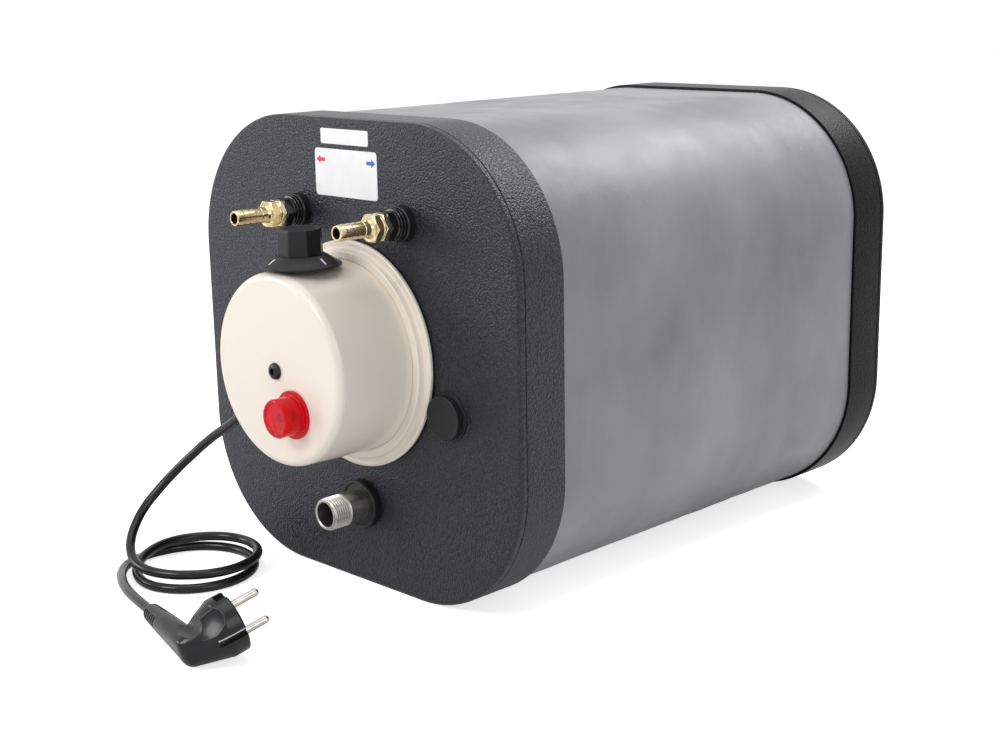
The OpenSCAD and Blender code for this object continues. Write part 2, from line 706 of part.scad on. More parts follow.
// Thermostat
module thermostat_body() color("beige") on_knob() difference() {
  union() {
    translate([-thermo_w / 2, -thermo_l / 2, boss_foot - thermo_h]) cube([thermo_w, thermo_l, thermo_h]);
    bar(neck_r, boss_foot - cut, neck_top);
  }
  bar(spindle_r + slide_fit, spindle_foot, neck_top + cut);
}
module thermostat_nut() color("silver") on_knob() difference() {
  hex_bar(neck_nut_af, boss_top, boss_top + neck_nut_h);
  bar(neck_r + fit, boss_top - cut, boss_top + neck_nut_h + cut);
}
module thermostat_spindle() color("silver") on_knob() bar(spindle_r, spindle_foot + fit, spindle_top);
module thermostat_knob() color("#1b1b1d") on_knob() difference() {
  union() {
    translate([0, 0, rim_h]) cylinder(r1 = knob_r, r2 = skirt_top_r, h = skirt_h);
    translate([0, 0, rim_h + skirt_h]) rotate(grip_turn)
      cylinder(r1 = grip_r, r2 = grip_r - grip_taper, h = grip_h, $fn = grip_sides);
  }
  translate([0, 0, rim_h - cut])
    cylinder(r1 = knob_r - knob_wall + cut, r2 = skirt_top_r - knob_wall, h = skirt_h - knob_wall + cut);
  bar(spindle_r + fit, rim_h, spindle_top);
}
limiter_front = plate_front + limiter_l;
module limiter_body() color("#d8cdb8") on_cup() translate([0, limiter_y, 0]) difference() {
  round_disc(limiter_r, plate_front, limiter_front, ring_edge);
  bar(button_r + slide_fit, limiter_front - button_depth, limiter_front + cut);
}
module limiter_button() color("red") on_cup() translate([0, limiter_y, 0])
  bar(button_r, limiter_front - button_depth + button_stroke + foam_fit, limiter_front + button_rest);

// Terminals and wires
module at_block() translate([block_corner.x, block_corner.y, plate_front]) children();
block_ways = 3;
block_pitch = block_size.x / block_ways;
block_well = 2;
function block_x(i) = block_corner.x + (i + 0.5) * block_pitch;
module at_block_screws() at_block() for (i = [0 : block_ways - 1], row = [1, 3])
  translate([(i + 0.5) * block_pitch, row * block_size.y / 4, 0]) children();
module terminal_block() color("ivory") on_cup() difference() {
  at_block() cube(block_size);
  at_block_screws() bar(block_screw_r + fit, block_size.z - block_well, block_size.z + cut);
}
module terminal_screws() color("gold") on_cup() at_block_screws()
  bar(block_screw_r, block_size.z - block_well, block_size.z - fit);
module earth_screw() color("gold") on_cup() translate([earth_x, earth_y, 0]) {
  bar(earth_r, plate_front, plate_front + earth_l);
  hex_bar(earth_nut_af, plate_front, plate_front + earth_nut_h);
}
wire_r = 1.1;
wire_sides = 6;
wire_out = plate_front + 10;
block_top = block_corner.y + block_size.y + fit;
block_foot = block_corner.y - fit;
core_start = 8;
core_gap = 3.2;
core_spread = 4;
core_in = (gland_wall_r - core_start) * [cos(gland_angle), sin(gland_angle), 0] + [0, 0, gland_out];
terminal_reach = terminal_r + wire_r;
thermo_side = thermo_w / 2 + fit;
limiter_side = limiter_r + fit;
lamp_pin = 3;
module wire(route, first, last) swept(route, wire_r, wire_sides, first, last);
// The wires' routes, in the terminal cover's frame, have points chosen by hand between their ends
module core(i) {
  lift = (i - 1) * core_gap;
  wire([core_in + [0, 0, lift], core_in + [8 + (i - 1) * core_spread, 9, lift - 9],
    [block_x(i) - 3, block_foot - 10, wire_out + 7 + lift], [block_x(i), block_foot - 3, wire_out + 1],
    [block_x(i), block_foot, wire_out]], [0.7, 0.6, -0.4], [0, 1, -0.2]);
}
module live_wires() color("saddlebrown") on_cup() {
  core(0);
  wire([[block_x(0), block_top, wire_out], [block_x(0) + 1, block_top + 6, wire_out + 4],
    [-thermo_side - 7, block_top + 14, wire_out + 15], [-thermo_side, block_top + 17, knob_out - 6]],
    [0, 1, 0.2], [1, 0, 0.2]);
  wire([[thermo_side, 36, knob_out - 6], [thermo_side + 9, 31, 30], [thermo_side + 19, 10, 22],
    [36, -14, 16], [28, -26, 10], [17, limiter_y - 1, plate_front + 8.5],
    [limiter_side, limiter_y, plate_front + 7]],
    [1, 0, 0], [-1, 0, 0]);
  wire([[-limiter_side, limiter_y, plate_front + 7], [-limiter_side - 5, limiter_y, plate_front + 10],
    [-element_half_w + 1, leg_y - 7, terminal_front - 3],
    [-element_half_w, leg_y - terminal_reach, terminal_front - 2]],
    [-1, 0, 0], [0, 1, 0]);
  wire([[lamp_x - lamp_pin, -lamp_drop, lamp_back], [lamp_x - 8, -lamp_drop - 4, lamp_back - 8],
    [-12, -lamp_drop - 8, 32], [-element_half_w - 5, leg_y - 9, terminal_front + 4],
    [-element_half_w - 4.5, leg_y - 2, terminal_front - 3],
    [-element_half_w - terminal_reach, leg_y, terminal_front - 5]],
    [0, 0, -1], [1, 0, 0]);
}
module neutral_wires() color("royalblue") on_cup() {
  core(1);
  wire([[block_corner.x + block_size.x + fit, 12, wire_out], [-4, 11.5, wire_out + 4],
    [8, 9, wire_out + 6], [element_half_w - 1, leg_y + 9, terminal_front],
    [element_half_w, leg_y + terminal_reach, terminal_front - 2]],
    [1, 0, 0], [0, -1, 0]);
  wire([[lamp_x + lamp_pin, -lamp_drop, lamp_back], [lamp_x + 7, -lamp_drop - 2, lamp_back - 8],
    [element_half_w + 9, leg_y - 9, 28], [element_half_w + 7, leg_y - 3, terminal_front],
    [element_half_w + terminal_reach, leg_y, terminal_front - 5]],
    [0, 0, -1], [-1, 0, 0]);
}
module earth_wire() color("yellowgreen") on_cup() {
  core(2);
  wire([[block_x(2), block_top, wire_out], [block_x(2) + 2, block_top + 7, wire_out],
    [0, block_top + 9, wire_out], [12, block_top + 7, wire_out], [earth_x - 2, earth_y + 7, wire_out],
    [earth_x, earth_y + earth_r + wire_r, wire_out]],
    [0, 1, 0], [0, -1, 0]);
}

// Water connections
module elbow(r, bore, bend) rotate_extrude(angle = 90) translate([bend, 0]) difference() {
  circle(r);
  circle(bore);
}
// Pipe from its front end to a bend inside the tank, then on by a length, upwards where up is 1
module bent_pipe(x, bend, on, up) on_front(x, tail_z) {
  back = dish_depth(x, tail_z) + inner_reach;
  bore = pipe_r - pipe_t;
  tube_bar(pipe_r, bore, -back, pipe_front);
  translate([0, up * bend, -back]) rotate([0, 90, 0]) rotate(up > 0 ? -90 : 0) elbow(pipe_r, bore, bend);
  translate([0, up * bend, -back - bend]) rotate([-90 * up, 0, 0]) tube_bar(pipe_r, bore, 0, on);
}
module hot_pipe() color("silver") bent_pipe(-hot_x, hot_bend_r, hot_end_l, 1);
module cold_pipe() color("silver") bent_pipe(cold_x, cold_bend_r, dip_drop - cold_bend_r, -1);
// Outline of the drain, whose thread is a row of crests
module drain_pipe() color("lightgray") on_front(drain_x, drain_z) {
  root_r = drain_r - thread_depth;
  back = dish_depth(drain_x, drain_z) + drain_reach;
  difference() {
    union() {
      bar(drain_pipe_r, -back, grommet_l);
      bar(drain_r, grommet_l, drain_thread_out);
      rotate_extrude() polygon(concat([[0, drain_thread_out]],
        [for (i = [0 : thread_turns - 1], k = [0, 1])
          [k == 0 ? drain_r : root_r, drain_thread_out + (i + k / 2) * thread_pitch]],
        [[drain_r, drain_front], [0, drain_front]]));
    }
    bar(drain_bore_r, -back - cut, drain_front + cut);
  }
}
module coupling() difference() {
  union() {
    bar(coupling_r - coupling_step, grommet_l, coupling_front);
    for (i = [0 : coupling_ribs - 1]) translate([0, 0, grommet_l + i * coupling_rib_pitch])
      bar(coupling_r, 0, coupling_rib_w);
    hex_bar(2 * coupling_r * cos(30), coupling_front - coupling_hex_l, coupling_front);
  }
  bar(pipe_r + fit, grommet_l - cut, pipe_front + fit);
  bar(tail_stub_r + fit, grommet_l, coupling_front + cut);
}
module hot_coupling() color("#151517") on_front(-hot_x, tail_z) coupling();
module cold_coupling() color("#151517") on_front(cold_x, tail_z) coupling();
module hose_tail() difference() {
  union() {
    bar(tail_stub_r, pipe_front + 2 * fit, coupling_front);
    bar(tail_thread_r, coupling_front, tail_hex_out);
    hex_bar(tail_af, coupling_front, coupling_front + lock_l);
    hex_bar(tail_af, tail_hex_out, tail_hex_out + tail_hex_l);
    bar(barb_r, tail_hex_out + tail_hex_l, barb_out);
    rotate_extrude() polygon(concat([[0, barb_out]],
      [for (i = [0 : barb_count - 1], k = [0, 1])
        [k == 0 ? barb_r : barb_r - barb_depth, barb_out + (i + k) * barb_l]], [[0, tail_front]]));
  }
  bar(tail_bore_r, pipe_front, tail_front + cut);
}
module hot_hose_tail() color("#c9a45c") on_front(-hot_x, tail_z) hose_tail();
module cold_hose_tail() color("#c9a45c") on_front(cold_x, tail_z) hose_tail();
module grommet(collar_r, hole_r, bore) difference() {
  union() {
    round_disc(collar_r, 0, grommet_l, ring_edge);
    bar(hole_r - fit, -cover_t, cut);
    bar(collar_r, -cover_t - back_collar_l, -cover_t);
  }
  bar(bore + fit, -cover_t - back_collar_l - cut, grommet_l + cut);
}
module tail_grommet() grommet(tail_collar_r, tail_hole_r, pipe_r);
module hot_grommet() color("#1d1d1f") on_front(-hot_x, tail_z) tail_grommet();
module cold_grommet() color("#1d1d1f") on_front(cold_x, tail_z) tail_grommet();
module drain_grommet() color("#1d1d1f") on_front(drain_x, drain_z)
  grommet(drain_collar_r, drain_hole_r, drain_pipe_r);
module blanking_plug() color("#1d1d1f") on_front(blank_x, blank_z) {
  bar(blank_flange_r, 0, blank_flange_t);
  round_disc(blank_r, 0, blank_l, blank_edge_r);
  bar(blank_hole_r - fit, -cover_t, cut);
  bar(blank_hole_r + blank_barb, -cover_t - back_collar_l, -cover_t);
}

// Cord
module cable_gland() color("#161617") on_gland() {
  nut_at = gland_wall_r - cup_t - gland_nut_gap;
  bar(gland_collar_r, nut_at - gland_nut_t, nut_at);
  bar(gland_hole_r, nut_at - cut, relief_root);
  bar(gland_collar_r, relief_root - gland_collar_t, relief_root);
  step = relief_l / relief_ribs;
  for (i = [0 : relief_ribs - 1]) {
    r = gland_hole_r - (gland_hole_r - cord_d / 2 - relief_wall) * i / (relief_ribs - 1);
    bar(r, relief_root + i * step, relief_root + (i + rib_share) * step);
    bar(r - rib_depth, relief_root + i * step, relief_root + (i + 1) * step);
  }
}
cord_sides = 10;
module mains_cord() color("#101011") translate([0, face_y, 0])
  swept(concat([gland_tip], cord_route, [coil_in]), cord_d / 2, cord_sides, gland_dir, coil_in_dir);
module cord_coil() color("#101011") translate([0, face_y, 0])
  swept(concat([coil_in], [for (t = [0 : 360 / rings_per_loop : coil_end]) coil_point(t)], [coil_out]),
    cord_d / 2, 6, coil_in_dir, coil_out_dir);
module cord_tail() color("#101011") translate([0, face_y, 0])
  swept(concat([coil_out], tail_route, [boot_tip]), cord_d / 2, cord_sides,
    coil_out_dir, plug_dir([1, 0, 0]));
groove_w = 1.2;
groove_depth = 0.8;
module boot() {
  step = (boot_l - boot_root) / (boot_grooves + 1);
  difference() {
    translate([0, 0, boot_root]) cylinder(r1 = boot_root_r, r2 = boot_tip_r, h = boot_l - boot_root);
    for (i = [1 : boot_grooves]) translate([0, 0, boot_root + i * step]) difference() {
      cylinder(r = boot_root_r + cut, h = groove_w);
      translate([0, 0, -cut]) cylinder(r = boot_tip_r - groove_depth, h = groove_w + 2 * cut);
    }
  }
}
module on_boot() translate([0, 0, -elbow_depth]) rotate([0, -90, 0]) children();
module elbow_ball() translate([0, 0, -elbow_depth]) scale(elbow_size) sphere(1, $fn = plug_facets);
module at_clips() for (s = [0, 180]) rotate(s) children();
clip_r = plug_d / 2 - clip_inset;
module plug_body() color("#19191a") on_plug() difference() {
  union() {
    round_disc(plug_d / 2, -plug_t, 0, ring_edge);
    hull() {
      bar(plug_d / 2 - ring_edge, -plug_t - cut, -plug_t);
      elbow_ball();
    }
    hull() {
      elbow_ball();
      on_boot() bar(boot_root_r, boot_root - cut, boot_root, $fn = plug_facets);
    }
    on_boot() boot();
  }
  at_clips() translate([clip_r, -clip_w / 2 - fit, -clip_l]) cube([plug_d, clip_w + 2 * fit, clip_l + cut]);
}
module at_pins() for (s = [-1, 1]) translate([0, s * pin_gap / 2, 0]) children();
module plug_pins() color("silver") on_plug() at_pins() {
  bar(pin_d / 2, 0, pin_l - pin_d / 2);
  translate([0, 0, pin_l - pin_d / 2]) sphere(pin_d / 2);
}
module plug_earth_clips() color("silver") on_plug() at_clips()
  translate([clip_r, -clip_w / 2, -clip_l]) cube([clip_t, clip_w, clip_l]);

front_cover();
rear_cover();
jacket();
insulation_sleeve();
insulation_front();
insulation_rear();
tank_barrel();
tank_front_end();
tank_rear_end();
flange_ring();
flange_studs();
flange_gasket();
heater_flange();
flange_nuts();
heating_element();
element_terminals();
thermostat_pocket();
thermostat_bulb();
capillary();
cover_pillar();
terminal_cover();
cover_base_ring();
base_ring_seal();
cover_screw();
lamp_lens();
lamp_body();
lamp_nut();
lamp_bulb();
thermostat_body();
thermostat_nut();
thermostat_spindle();
thermostat_knob();
limiter_body();
limiter_button();
terminal_block();
terminal_screws();
earth_screw();
live_wires();
neutral_wires();
earth_wire();
cable_gland();
mains_cord();
cord_coil();
cord_tail();
plug_body();
plug_pins();
plug_earth_clips();
hot_pipe();
cold_pipe();
drain_pipe();
hot_coupling();
cold_coupling();
hot_hose_tail();
cold_hose_tail();
hot_grommet();
cold_grommet();
drain_grommet();
blanking_plug();
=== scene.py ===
import json
import math

import bmesh
import bpy
import numpy as np
from mathutils import Matrix, Vector, noise


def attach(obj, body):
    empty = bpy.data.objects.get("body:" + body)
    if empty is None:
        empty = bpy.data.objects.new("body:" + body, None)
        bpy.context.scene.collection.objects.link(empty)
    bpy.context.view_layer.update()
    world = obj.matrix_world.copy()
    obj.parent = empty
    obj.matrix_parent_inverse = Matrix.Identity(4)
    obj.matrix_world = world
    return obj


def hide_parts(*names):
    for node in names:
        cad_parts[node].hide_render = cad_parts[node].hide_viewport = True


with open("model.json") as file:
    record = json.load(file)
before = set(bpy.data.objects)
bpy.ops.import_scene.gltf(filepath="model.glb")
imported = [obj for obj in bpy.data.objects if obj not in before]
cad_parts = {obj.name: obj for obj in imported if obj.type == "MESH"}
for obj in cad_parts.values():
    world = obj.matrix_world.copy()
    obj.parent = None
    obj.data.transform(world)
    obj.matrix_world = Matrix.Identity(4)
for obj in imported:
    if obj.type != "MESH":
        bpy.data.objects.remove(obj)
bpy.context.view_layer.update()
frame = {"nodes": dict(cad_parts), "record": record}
NODES = frame["nodes"]
scene = bpy.context.scene

# Sizes are in millimetres in the row frame: +X right, the front faces -Y, +Z up
MM = 0.001
FACE_Y = -151.5
CASE_W = 300.0
CASE_L = 382.0
CASE_R = 90.0
MID_Z = 150.0
CUP_X, CUP_Z = 6.0, 153.0
HOSE_X, HOSE_Z = {"hot": -45.0, "cold": 54.0}, 240.0
DRAIN_AT = (8.0, 54.0)
BLANK_AT = (90.0, 126.0)

# Camera, solved from the photograph
camera = bpy.data.cameras.new("camera")
camera.sensor_width = 36.0
camera.lens = 57.9497
camera.clip_start = 0.05
view = bpy.data.objects.new("camera", camera)
scene.collection.objects.link(view)
RIGHT = Vector((0.709469, 0.704533, -0.016936))
DOWN = Vector((0.154256, -0.178696, -0.971737))
AHEAD = Vector((-0.687647, 0.686805, -0.235458))
EYE = Vector((0.773418, -0.790059, 0.378064))
rows = [[RIGHT[i], -DOWN[i], -AHEAD[i], EYE[i]] for i in range(3)]
view.matrix_world = Matrix(rows + [[0, 0, 0, 1]])
scene.camera = view
scene.view_settings.view_transform = "Standard"


# Materials
def linked(tree, kind, **values):
    """A node with its inputs set by name; an input given as a socket is linked."""
    node = tree.nodes.new(kind)
    for name, value in values.items():
        socket = node.inputs[name.replace("_", " ")]
        if isinstance(value, bpy.types.NodeSocket):
            tree.links.new(value, socket)
        else:
            socket.default_value = value
    return node


def stretched(tree, stretch):
    """Object coordinates, stretched by a factor for each axis."""
    place = tree.nodes.new("ShaderNodeTexCoord").outputs["Object"]
    return linked(tree, "ShaderNodeMapping", Vector=place, Scale=stretch).outputs["Vector"]


def texture(tree, kind, scale, stretch=(1, 1, 1), detail=3.0):
    """A grey pattern: "noise", or the pebbles of "grain"."""
    where = stretched(tree, stretch)
    if kind == "noise":
        made = linked(tree, "ShaderNodeTexNoise", Vector=where, Scale=scale, Detail=detail)
        return made.outputs["Fac"]
    cells = tree.nodes.new("ShaderNodeTexVoronoi")
    cells.feature = "SMOOTH_F1"
    tree.links.new(where, cells.inputs["Vector"])
    cells.inputs["Scale"].default_value = scale
    cells.inputs["Smoothness"].default_value = 0.35
    return cells.outputs["Distance"]


def material(name, dark, light, rough, tone=40.0, stretch=(1, 1, 1), bumps=(), spread=(0.35, 0.65),
             kind="noise", **sockets):
    """Colour from dark to light by a pattern of that kind and tone, and roughness by a finer noise.

    Bumps are (kind, scale, stretch, depth in mm) from coarse to fine."""
    made = bpy.data.materials.new(name)
    made.use_nodes = True
    tree = made.node_tree
    shader = tree.nodes["Principled BSDF"]
    pattern = texture(tree, kind, tone, stretch, 5.0)
    ramp = tree.nodes.new("ShaderNodeValToRGB")
    # With grain, the light colour goes to the pebbles' crowns and the dark to their edges: a painted sheen on
    # the pebbles
    ends = (light, dark) if kind == "grain" else (dark, light)
    for stop, at, colour in zip(ramp.color_ramp.elements, spread, ends):
        stop.position = at
        stop.color = (*colour, 1)
    tree.links.new(pattern, ramp.inputs["Fac"])
    tree.links.new(ramp.outputs["Color"], shader.inputs["Base Color"])
    fine = texture(tree, "noise", 3.1 * tone, stretch, 4.0)
    span = linked(tree, "ShaderNodeMapRange", Value=fine, From_Min=0.3, From_Max=0.7, To_Min=rough[0],
                  To_Max=rough[1])
    tree.links.new(span.outputs["Result"], shader.inputs["Roughness"])
    normal = None
    for shape, scale, way, depth in bumps:
        bump = linked(tree, "ShaderNodeBump", Height=texture(tree, shape, scale, way), Strength=1.0,
                      Distance=depth * MM)
        bump.invert = shape == "grain"
        if normal:
            tree.links.new(normal, bump.inputs["Normal"])
        normal = bump.outputs["Normal"]
    if normal:
        tree.links.new(normal, shader.inputs["Normal"])
    for socket, value in sockets.items():
        shader.inputs[socket.replace("_", " ")].default_value = value
    return made


def scaled(colour, k):
    return tuple(k * c for c in colour)


def plain(name, colour, rough, tone=80.0, vary=0.12, **more):
    return material(name, scaled(colour, 1 - vary), scaled(colour, 1 + vary), rough, tone, **more)


# No range of roughness crosses 0.274, where the denoiser's guide has a step
GRAIN = 800
EVEN = (1, 1, 1)
MATS = {
    # Cover: real pebble grain whose crowns are lighter in colour, a painted sheen
    "cover": material("cover_grain_painted_sheen", (0.009, 0.0092, 0.0115), (0.031, 0.0315, 0.039), (0.32, 0.4), GRAIN,
                      bumps=[("noise", 320, EVEN, 0.16), ("grain", GRAIN, EVEN, 0.45)],
                      spread=(0.1, 0.6), kind="grain", Specular_IOR_Level=0.38,
                      Specular_Tint=(0.86, 0.91, 1.0, 1)),
    "jacket": material("jacket_vinyl", (0.185, 0.18, 0.192), (0.29, 0.287, 0.306), (0.34, 0.48), 15.0,
                       (1, 0.75, 0.6),
                       [("noise", 60, (1, 1.3, 0.8), 0.35), ("noise", 420, (1, 1.6, 0.5), 0.12),
                        ("grain", 1300, EVEN, 0.07)], (0.3, 0.7), Specular_IOR_Level=0.4),
    "ivory": plain("ivory_plastic", (0.81, 0.735, 0.65), (0.2, 0.26), 30.0, 0.012, spread=(0.1, 0.9),
                   bumps=[("noise", 900, EVEN, 0.004)]),
    "seal": plain("black_rubber", (0.009, 0.009, 0.01), (0.3, 0.42), 120.0, 0.2,
                  bumps=[("noise", 900, EVEN, 0.02)], Specular_IOR_Level=0.35),
    "black_plastic": plain("black_satin", (0.009, 0.009, 0.0105), (0.34, 0.46), 90.0, 0.18,
                           bumps=[("noise", 1500, EVEN, 0.012)], Specular_IOR_Level=0.3),
    "plug": plain("plug_vinyl", (0.005, 0.005, 0.007), (0.2, 0.26), 90.0, 0.18,
                  bumps=[("noise", 1500, EVEN, 0.012)], Specular_IOR_Level=0.36),
    "black_gloss": plain("black_gloss", (0.007, 0.007, 0.008), (0.1, 0.18), 140.0, 0.2,
                         bumps=[("noise", 700, EVEN, 0.008)], Specular_IOR_Level=0.5),
    "cord": plain("cord_sheath", (0.008, 0.008, 0.009), (0.18, 0.26), 160.0, 0.2,
                  bumps=[("noise", 260, EVEN, 0.03), ("noise", 1200, EVEN, 0.01)],
                  Specular_IOR_Level=0.35),
    "black_metal": plain("black_oxide", (0.02, 0.02, 0.02), (0.29, 0.42), 300.0, 0.25, Metallic=0.6,
                         bumps=[("noise", 1400, EVEN, 0.01)]),
    "brass": material("polished_brass", (0.58, 0.45, 0.245), (0.84, 0.7, 0.45), (0.14, 0.26), 110.0,
                      (1, 0.2, 1), [("noise", 900, (1, 5, 1), 0.012)], Metallic=1.0),
    "stainless": material("bright_stainless", (0.38, 0.365, 0.345), (0.56, 0.545, 0.52), (0.29, 0.38), 90.0,
                          (1, 0.3, 1), [("noise", 1100, (1, 6, 1), 0.01)], Metallic=1.0),
    "zinc": material("plated_zinc", (0.42, 0.42, 0.41), (0.58, 0.58, 0.57), (0.29, 0.4), 200.0,
                     bumps=[("noise", 900, EVEN, 0.01)], Metallic=1.0),
    "copper": material("bright_copper", (0.5, 0.24, 0.13), (0.68, 0.36, 0.2), (0.29, 0.38), 150.0,
                       bumps=[("noise", 900, EVEN, 0.01)], Metallic=1.0),
    "nickel": material("nickel_plate", (0.4, 0.38, 0.35), (0.55, 0.53, 0.49), (0.1, 0.22), 220.0,
                       bumps=[("noise", 1300, EVEN, 0.006)], Metallic=1.0),
    "ceramic": plain("pale_ceramic", (0.8, 0.78, 0.73), (0.4, 0.55), 150.0, 0.05,
                     bumps=[("noise", 800, EVEN, 0.02)]),
    "foam": plain("foam_block", (0.8, 0.74, 0.56), (0.75, 0.9), 60.0, 0.08,
                  bumps=[("grain", 420, EVEN, 0.5)]),
    "lens": plain("red_lens", (0.88, 0.008, 0.024), (0.12, 0.18), 90.0, 0.06, Transmission_Weight=0.75,
                  IOR=1.38, Specular_IOR_Level=0.2, Specular_Tint=(1, 0.5, 0.55, 1),
                  bumps=[("noise", 240, EVEN, 0.02)]),
    "bulb": plain("bulb_glass", (0.9, 0.5, 0.3), (0.03, 0.08), 120.0, 0.08, Transmission_Weight=0.85,
                  IOR=1.46),
    "button": plain("red_button", (0.6, 0.03, 0.03), (0.18, 0.26), 150.0, 0.1),
    "wire_brown": plain("wire_brown", (0.16, 0.055, 0.025), (0.3, 0.42), 200.0, 0.12),
    "wire_blue": plain("wire_blue", (0.025, 0.12, 0.42), (0.3, 0.42), 200.0, 0.12),
    "wire_green": material("wire_green", (0.05, 0.3, 0.04), (0.75, 0.62, 0.03), (0.3, 0.42), 160.0,
                           spread=(0.49, 0.51)),
}
# Rear cover: a darker, less glossy copy of the cover's grain material, painted shade; its pebble crowns are
# lighter, a painted sheen
REAR_PAINTED_SHADE = material("rear_grain_painted_shade", (0.002, 0.002, 0.0025), (0.012, 0.0122, 0.015), (0.3, 0.4), GRAIN,
                bumps=[("noise", 320, EVEN, 0.12), ("grain", GRAIN, EVEN, 0.2)], spread=(0.1, 0.5),
                kind="grain", Specular_IOR_Level=0.12)
LABEL = plain("label_white", (0.83, 0.83, 0.84), (0.3, 0.42), 60.0, 0.03, bumps=[("noise", 500, EVEN, 0.01)])
ARROW_RED = plain("arrow_red", (0.66, 0.03, 0.03), (0.3, 0.42), 200.0, 0.08)
ARROW_BLUE = plain("arrow_blue", (0.03, 0.13, 0.5), (0.3, 0.42), 200.0, 0.08)
MARK = plain("mark_white", (0.8, 0.8, 0.8), (0.4, 0.55), 300.0, 0.06)
for entry in frame["record"]["subparts"]:
    for slot in NODES[entry["node"]].material_slots:
        slot.material = MATS[entry["material_slot"]]


# Pieces
def piece(name, mesh, mat, nodes=(), body="heater", *, sharp):
    """Puts a mesh, whose points are in millimetres in the row frame, into the scene as one piece."""
    for vertex in mesh.vertices:
        vertex.co *= MM
    mesh.polygons.foreach_set("use_smooth", [True] * len(mesh.polygons))
    mesh.set_sharp_from_angle(angle=math.radians(sharp))
    mesh.materials.clear()
    mesh.materials.append(mat)
    made = bpy.data.objects.new(name, mesh)
    scene.collection.objects.link(made)
    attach(made, body)
    if nodes:
        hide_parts(*nodes)
    return made


def mesh_of(points, faces):
    """A mesh without doubled points, stray edges or stray points, its faces turned outwards."""
    mesh = bpy.data.meshes.new("mesh")
    mesh.from_pydata([tuple(p) for p in points], [], faces)
    work = bmesh.new()
    work.from_mesh(mesh)
    bmesh.ops.remove_doubles(work, verts=work.verts, dist=1e-5)
    bmesh.ops.dissolve_degenerate(work, edges=work.edges, dist=1e-6)
    for parts, context in ((work.edges, "EDGES"), (work.verts, "VERTS")):
        stray = [part for part in parts if not part.link_faces]
        bmesh.ops.delete(work, geom=stray, context=context)
    bmesh.ops.recalc_face_normals(work, faces=work.faces)
    work.to_mesh(mesh)
    work.free()
    return mesh


def front(x, z):
    """Frame of a piece on the front: x to the right, y up, z out of the front face."""
    return np.array([[1, 0, 0, x], [0, 0, -1, FACE_Y], [0, 1, 0, z], [0, 0, 0, 1]], float)


def spun(angle):
    """A turn about z."""
    c, s = math.cos(angle), math.sin(angle)
    return np.array([[c, -s, 0, 0], [s, c, 0, 0], [0, 0, 1, 0], [0, 0, 0, 1]])


def placed(points, place):
    points = np.asarray(points, float)
    return points @ place[:3, :3].T + place[:3, 3]


def fillet(corners, steps=5):
    """A line through (r, z, radius) corners, each rounded by its radius where it has one."""
    line = []
    for i, corner in enumerate(corners):
        here = np.array(corner[:2], float)
        radius = corner[2] if len(corner) > 2 else 0
        if not radius or i in (0, len(corners) - 1):
            line.append(here)
            continue
        a = np.array(corners[i - 1][:2], float) - here
        b = np.array(corners[i + 1][:2], float) - here
        la, lb = np.linalg.norm(a), np.linalg.norm(b)
        a, b = a / la, b / lb
        half = math.acos(max(-1, min(1, a @ b))) / 2
        if half > math.radians(88):
            line.append(here)
            continue
        reach = min(radius / math.tan(half), 0.49 * la, 0.49 * lb)
        rad = reach * math.tan(half)
        centre = here + (a + b) / np.linalg.norm(a + b) * rad / math.sin(half)
        start, end = here + a * reach - centre, here + b * reach - centre
        turn = math.acos(max(-1, min(1, (start @ end) / rad ** 2)))
        for k in range(steps + 1):
            w = k / steps
            along = math.sin((1 - w) * turn) * start + math.sin(w * turn) * end
            line.append(centre + along / math.sin(turn))
    return [tuple(p) for p in line]


def polygon_factor(angle, sides, edge):
    """How far a regular polygon of apothem 1 reaches at an angle; a larger edge gives sharper corners."""
    total = sum(max(0.0, math.cos(angle - 2 * math.pi * k / sides)) ** edge for k in range(sides))
    return total ** (-1 / edge)


def rounded(half_w, half_h, r, count):
    """Points round a rectangle with rounded corners."""
    points = []
    for k, (sx, sy) in enumerate(((1, 1), (-1, 1), (-1, -1), (1, -1))):
        for i in range(count + 1):
            a = math.pi / 2 * (k + i / count)
            points.append((sx * (half_w - r) + r * math.cos(a), sy * (half_h - r) + r * math.sin(a)))
    return points


def bands(n, rows, start=0, closed=False):
    """Faces between rings of n points each; where closed, the last ring joins the first."""
    faces = []
    for i in range(rows if closed else rows - 1):
        a, b = start + i * n, start + (i + 1) % rows * n
        faces += [(a + k, a + (k + 1) % n, b + (k + 1) % n, b + k) for k in range(n)]
    return faces


def turned(line, place, segs=96, closed=True, form=None):
    """Surface of revolution about z through the line's (r, z) points.

    form(i, angle, r) may change a radius."""
    points = []
    for i, (r, z) in enumerate(line):
        for k in range(segs):
            a = 2 * math.pi * k / segs
            rr = form(i, a, r) if form else r
            points.append((rr * math.cos(a), rr * math.sin(a), z))
    return mesh_of(placed(points, place), bands(segs, len(line), closed=closed))


def evaluated(obj):
    """A new mesh of an object with its modifiers applied; the object goes."""
    deps = bpy.context.evaluated_depsgraph_get()
    mesh = bpy.data.meshes.new_from_object(obj.evaluated_get(deps))
    bpy.data.objects.remove(obj)
    return mesh


def loose(mesh):
    made = bpy.data.objects.new("loose", mesh)
    scene.collection.objects.link(made)
    return made


def without(mesh, cutters):
    """The mesh with the cutter meshes taken out of it."""
    body = loose(mesh)
    tools = [loose(c) for c in cutters]
    for tool in tools:
        cut = body.modifiers.new("cut", "BOOLEAN")
        cut.object = tool
        cut.solver = "EXACT"
    result = evaluated(body)
    for tool in tools:
        bpy.data.objects.remove(tool)
    return result


def box(size, centre, place, taper=1.0):
    """A block whose upper end in z is scaled by taper."""
    sx, sy, sz = (0.5 * s for s in size)
    points = []
    for z, k in ((-1, 1.0), (1, taper)):
        points += [(x * sx * k + centre[0], y * sy * k + centre[1], z * sz + centre[2])
                   for x, y in ((-1, -1), (1, -1), (1, 1), (-1, 1))]
    faces = [(3, 2, 1, 0), (4, 5, 6, 7)] + bands(4, 2)
    return mesh_of(placed(points, place), faces)


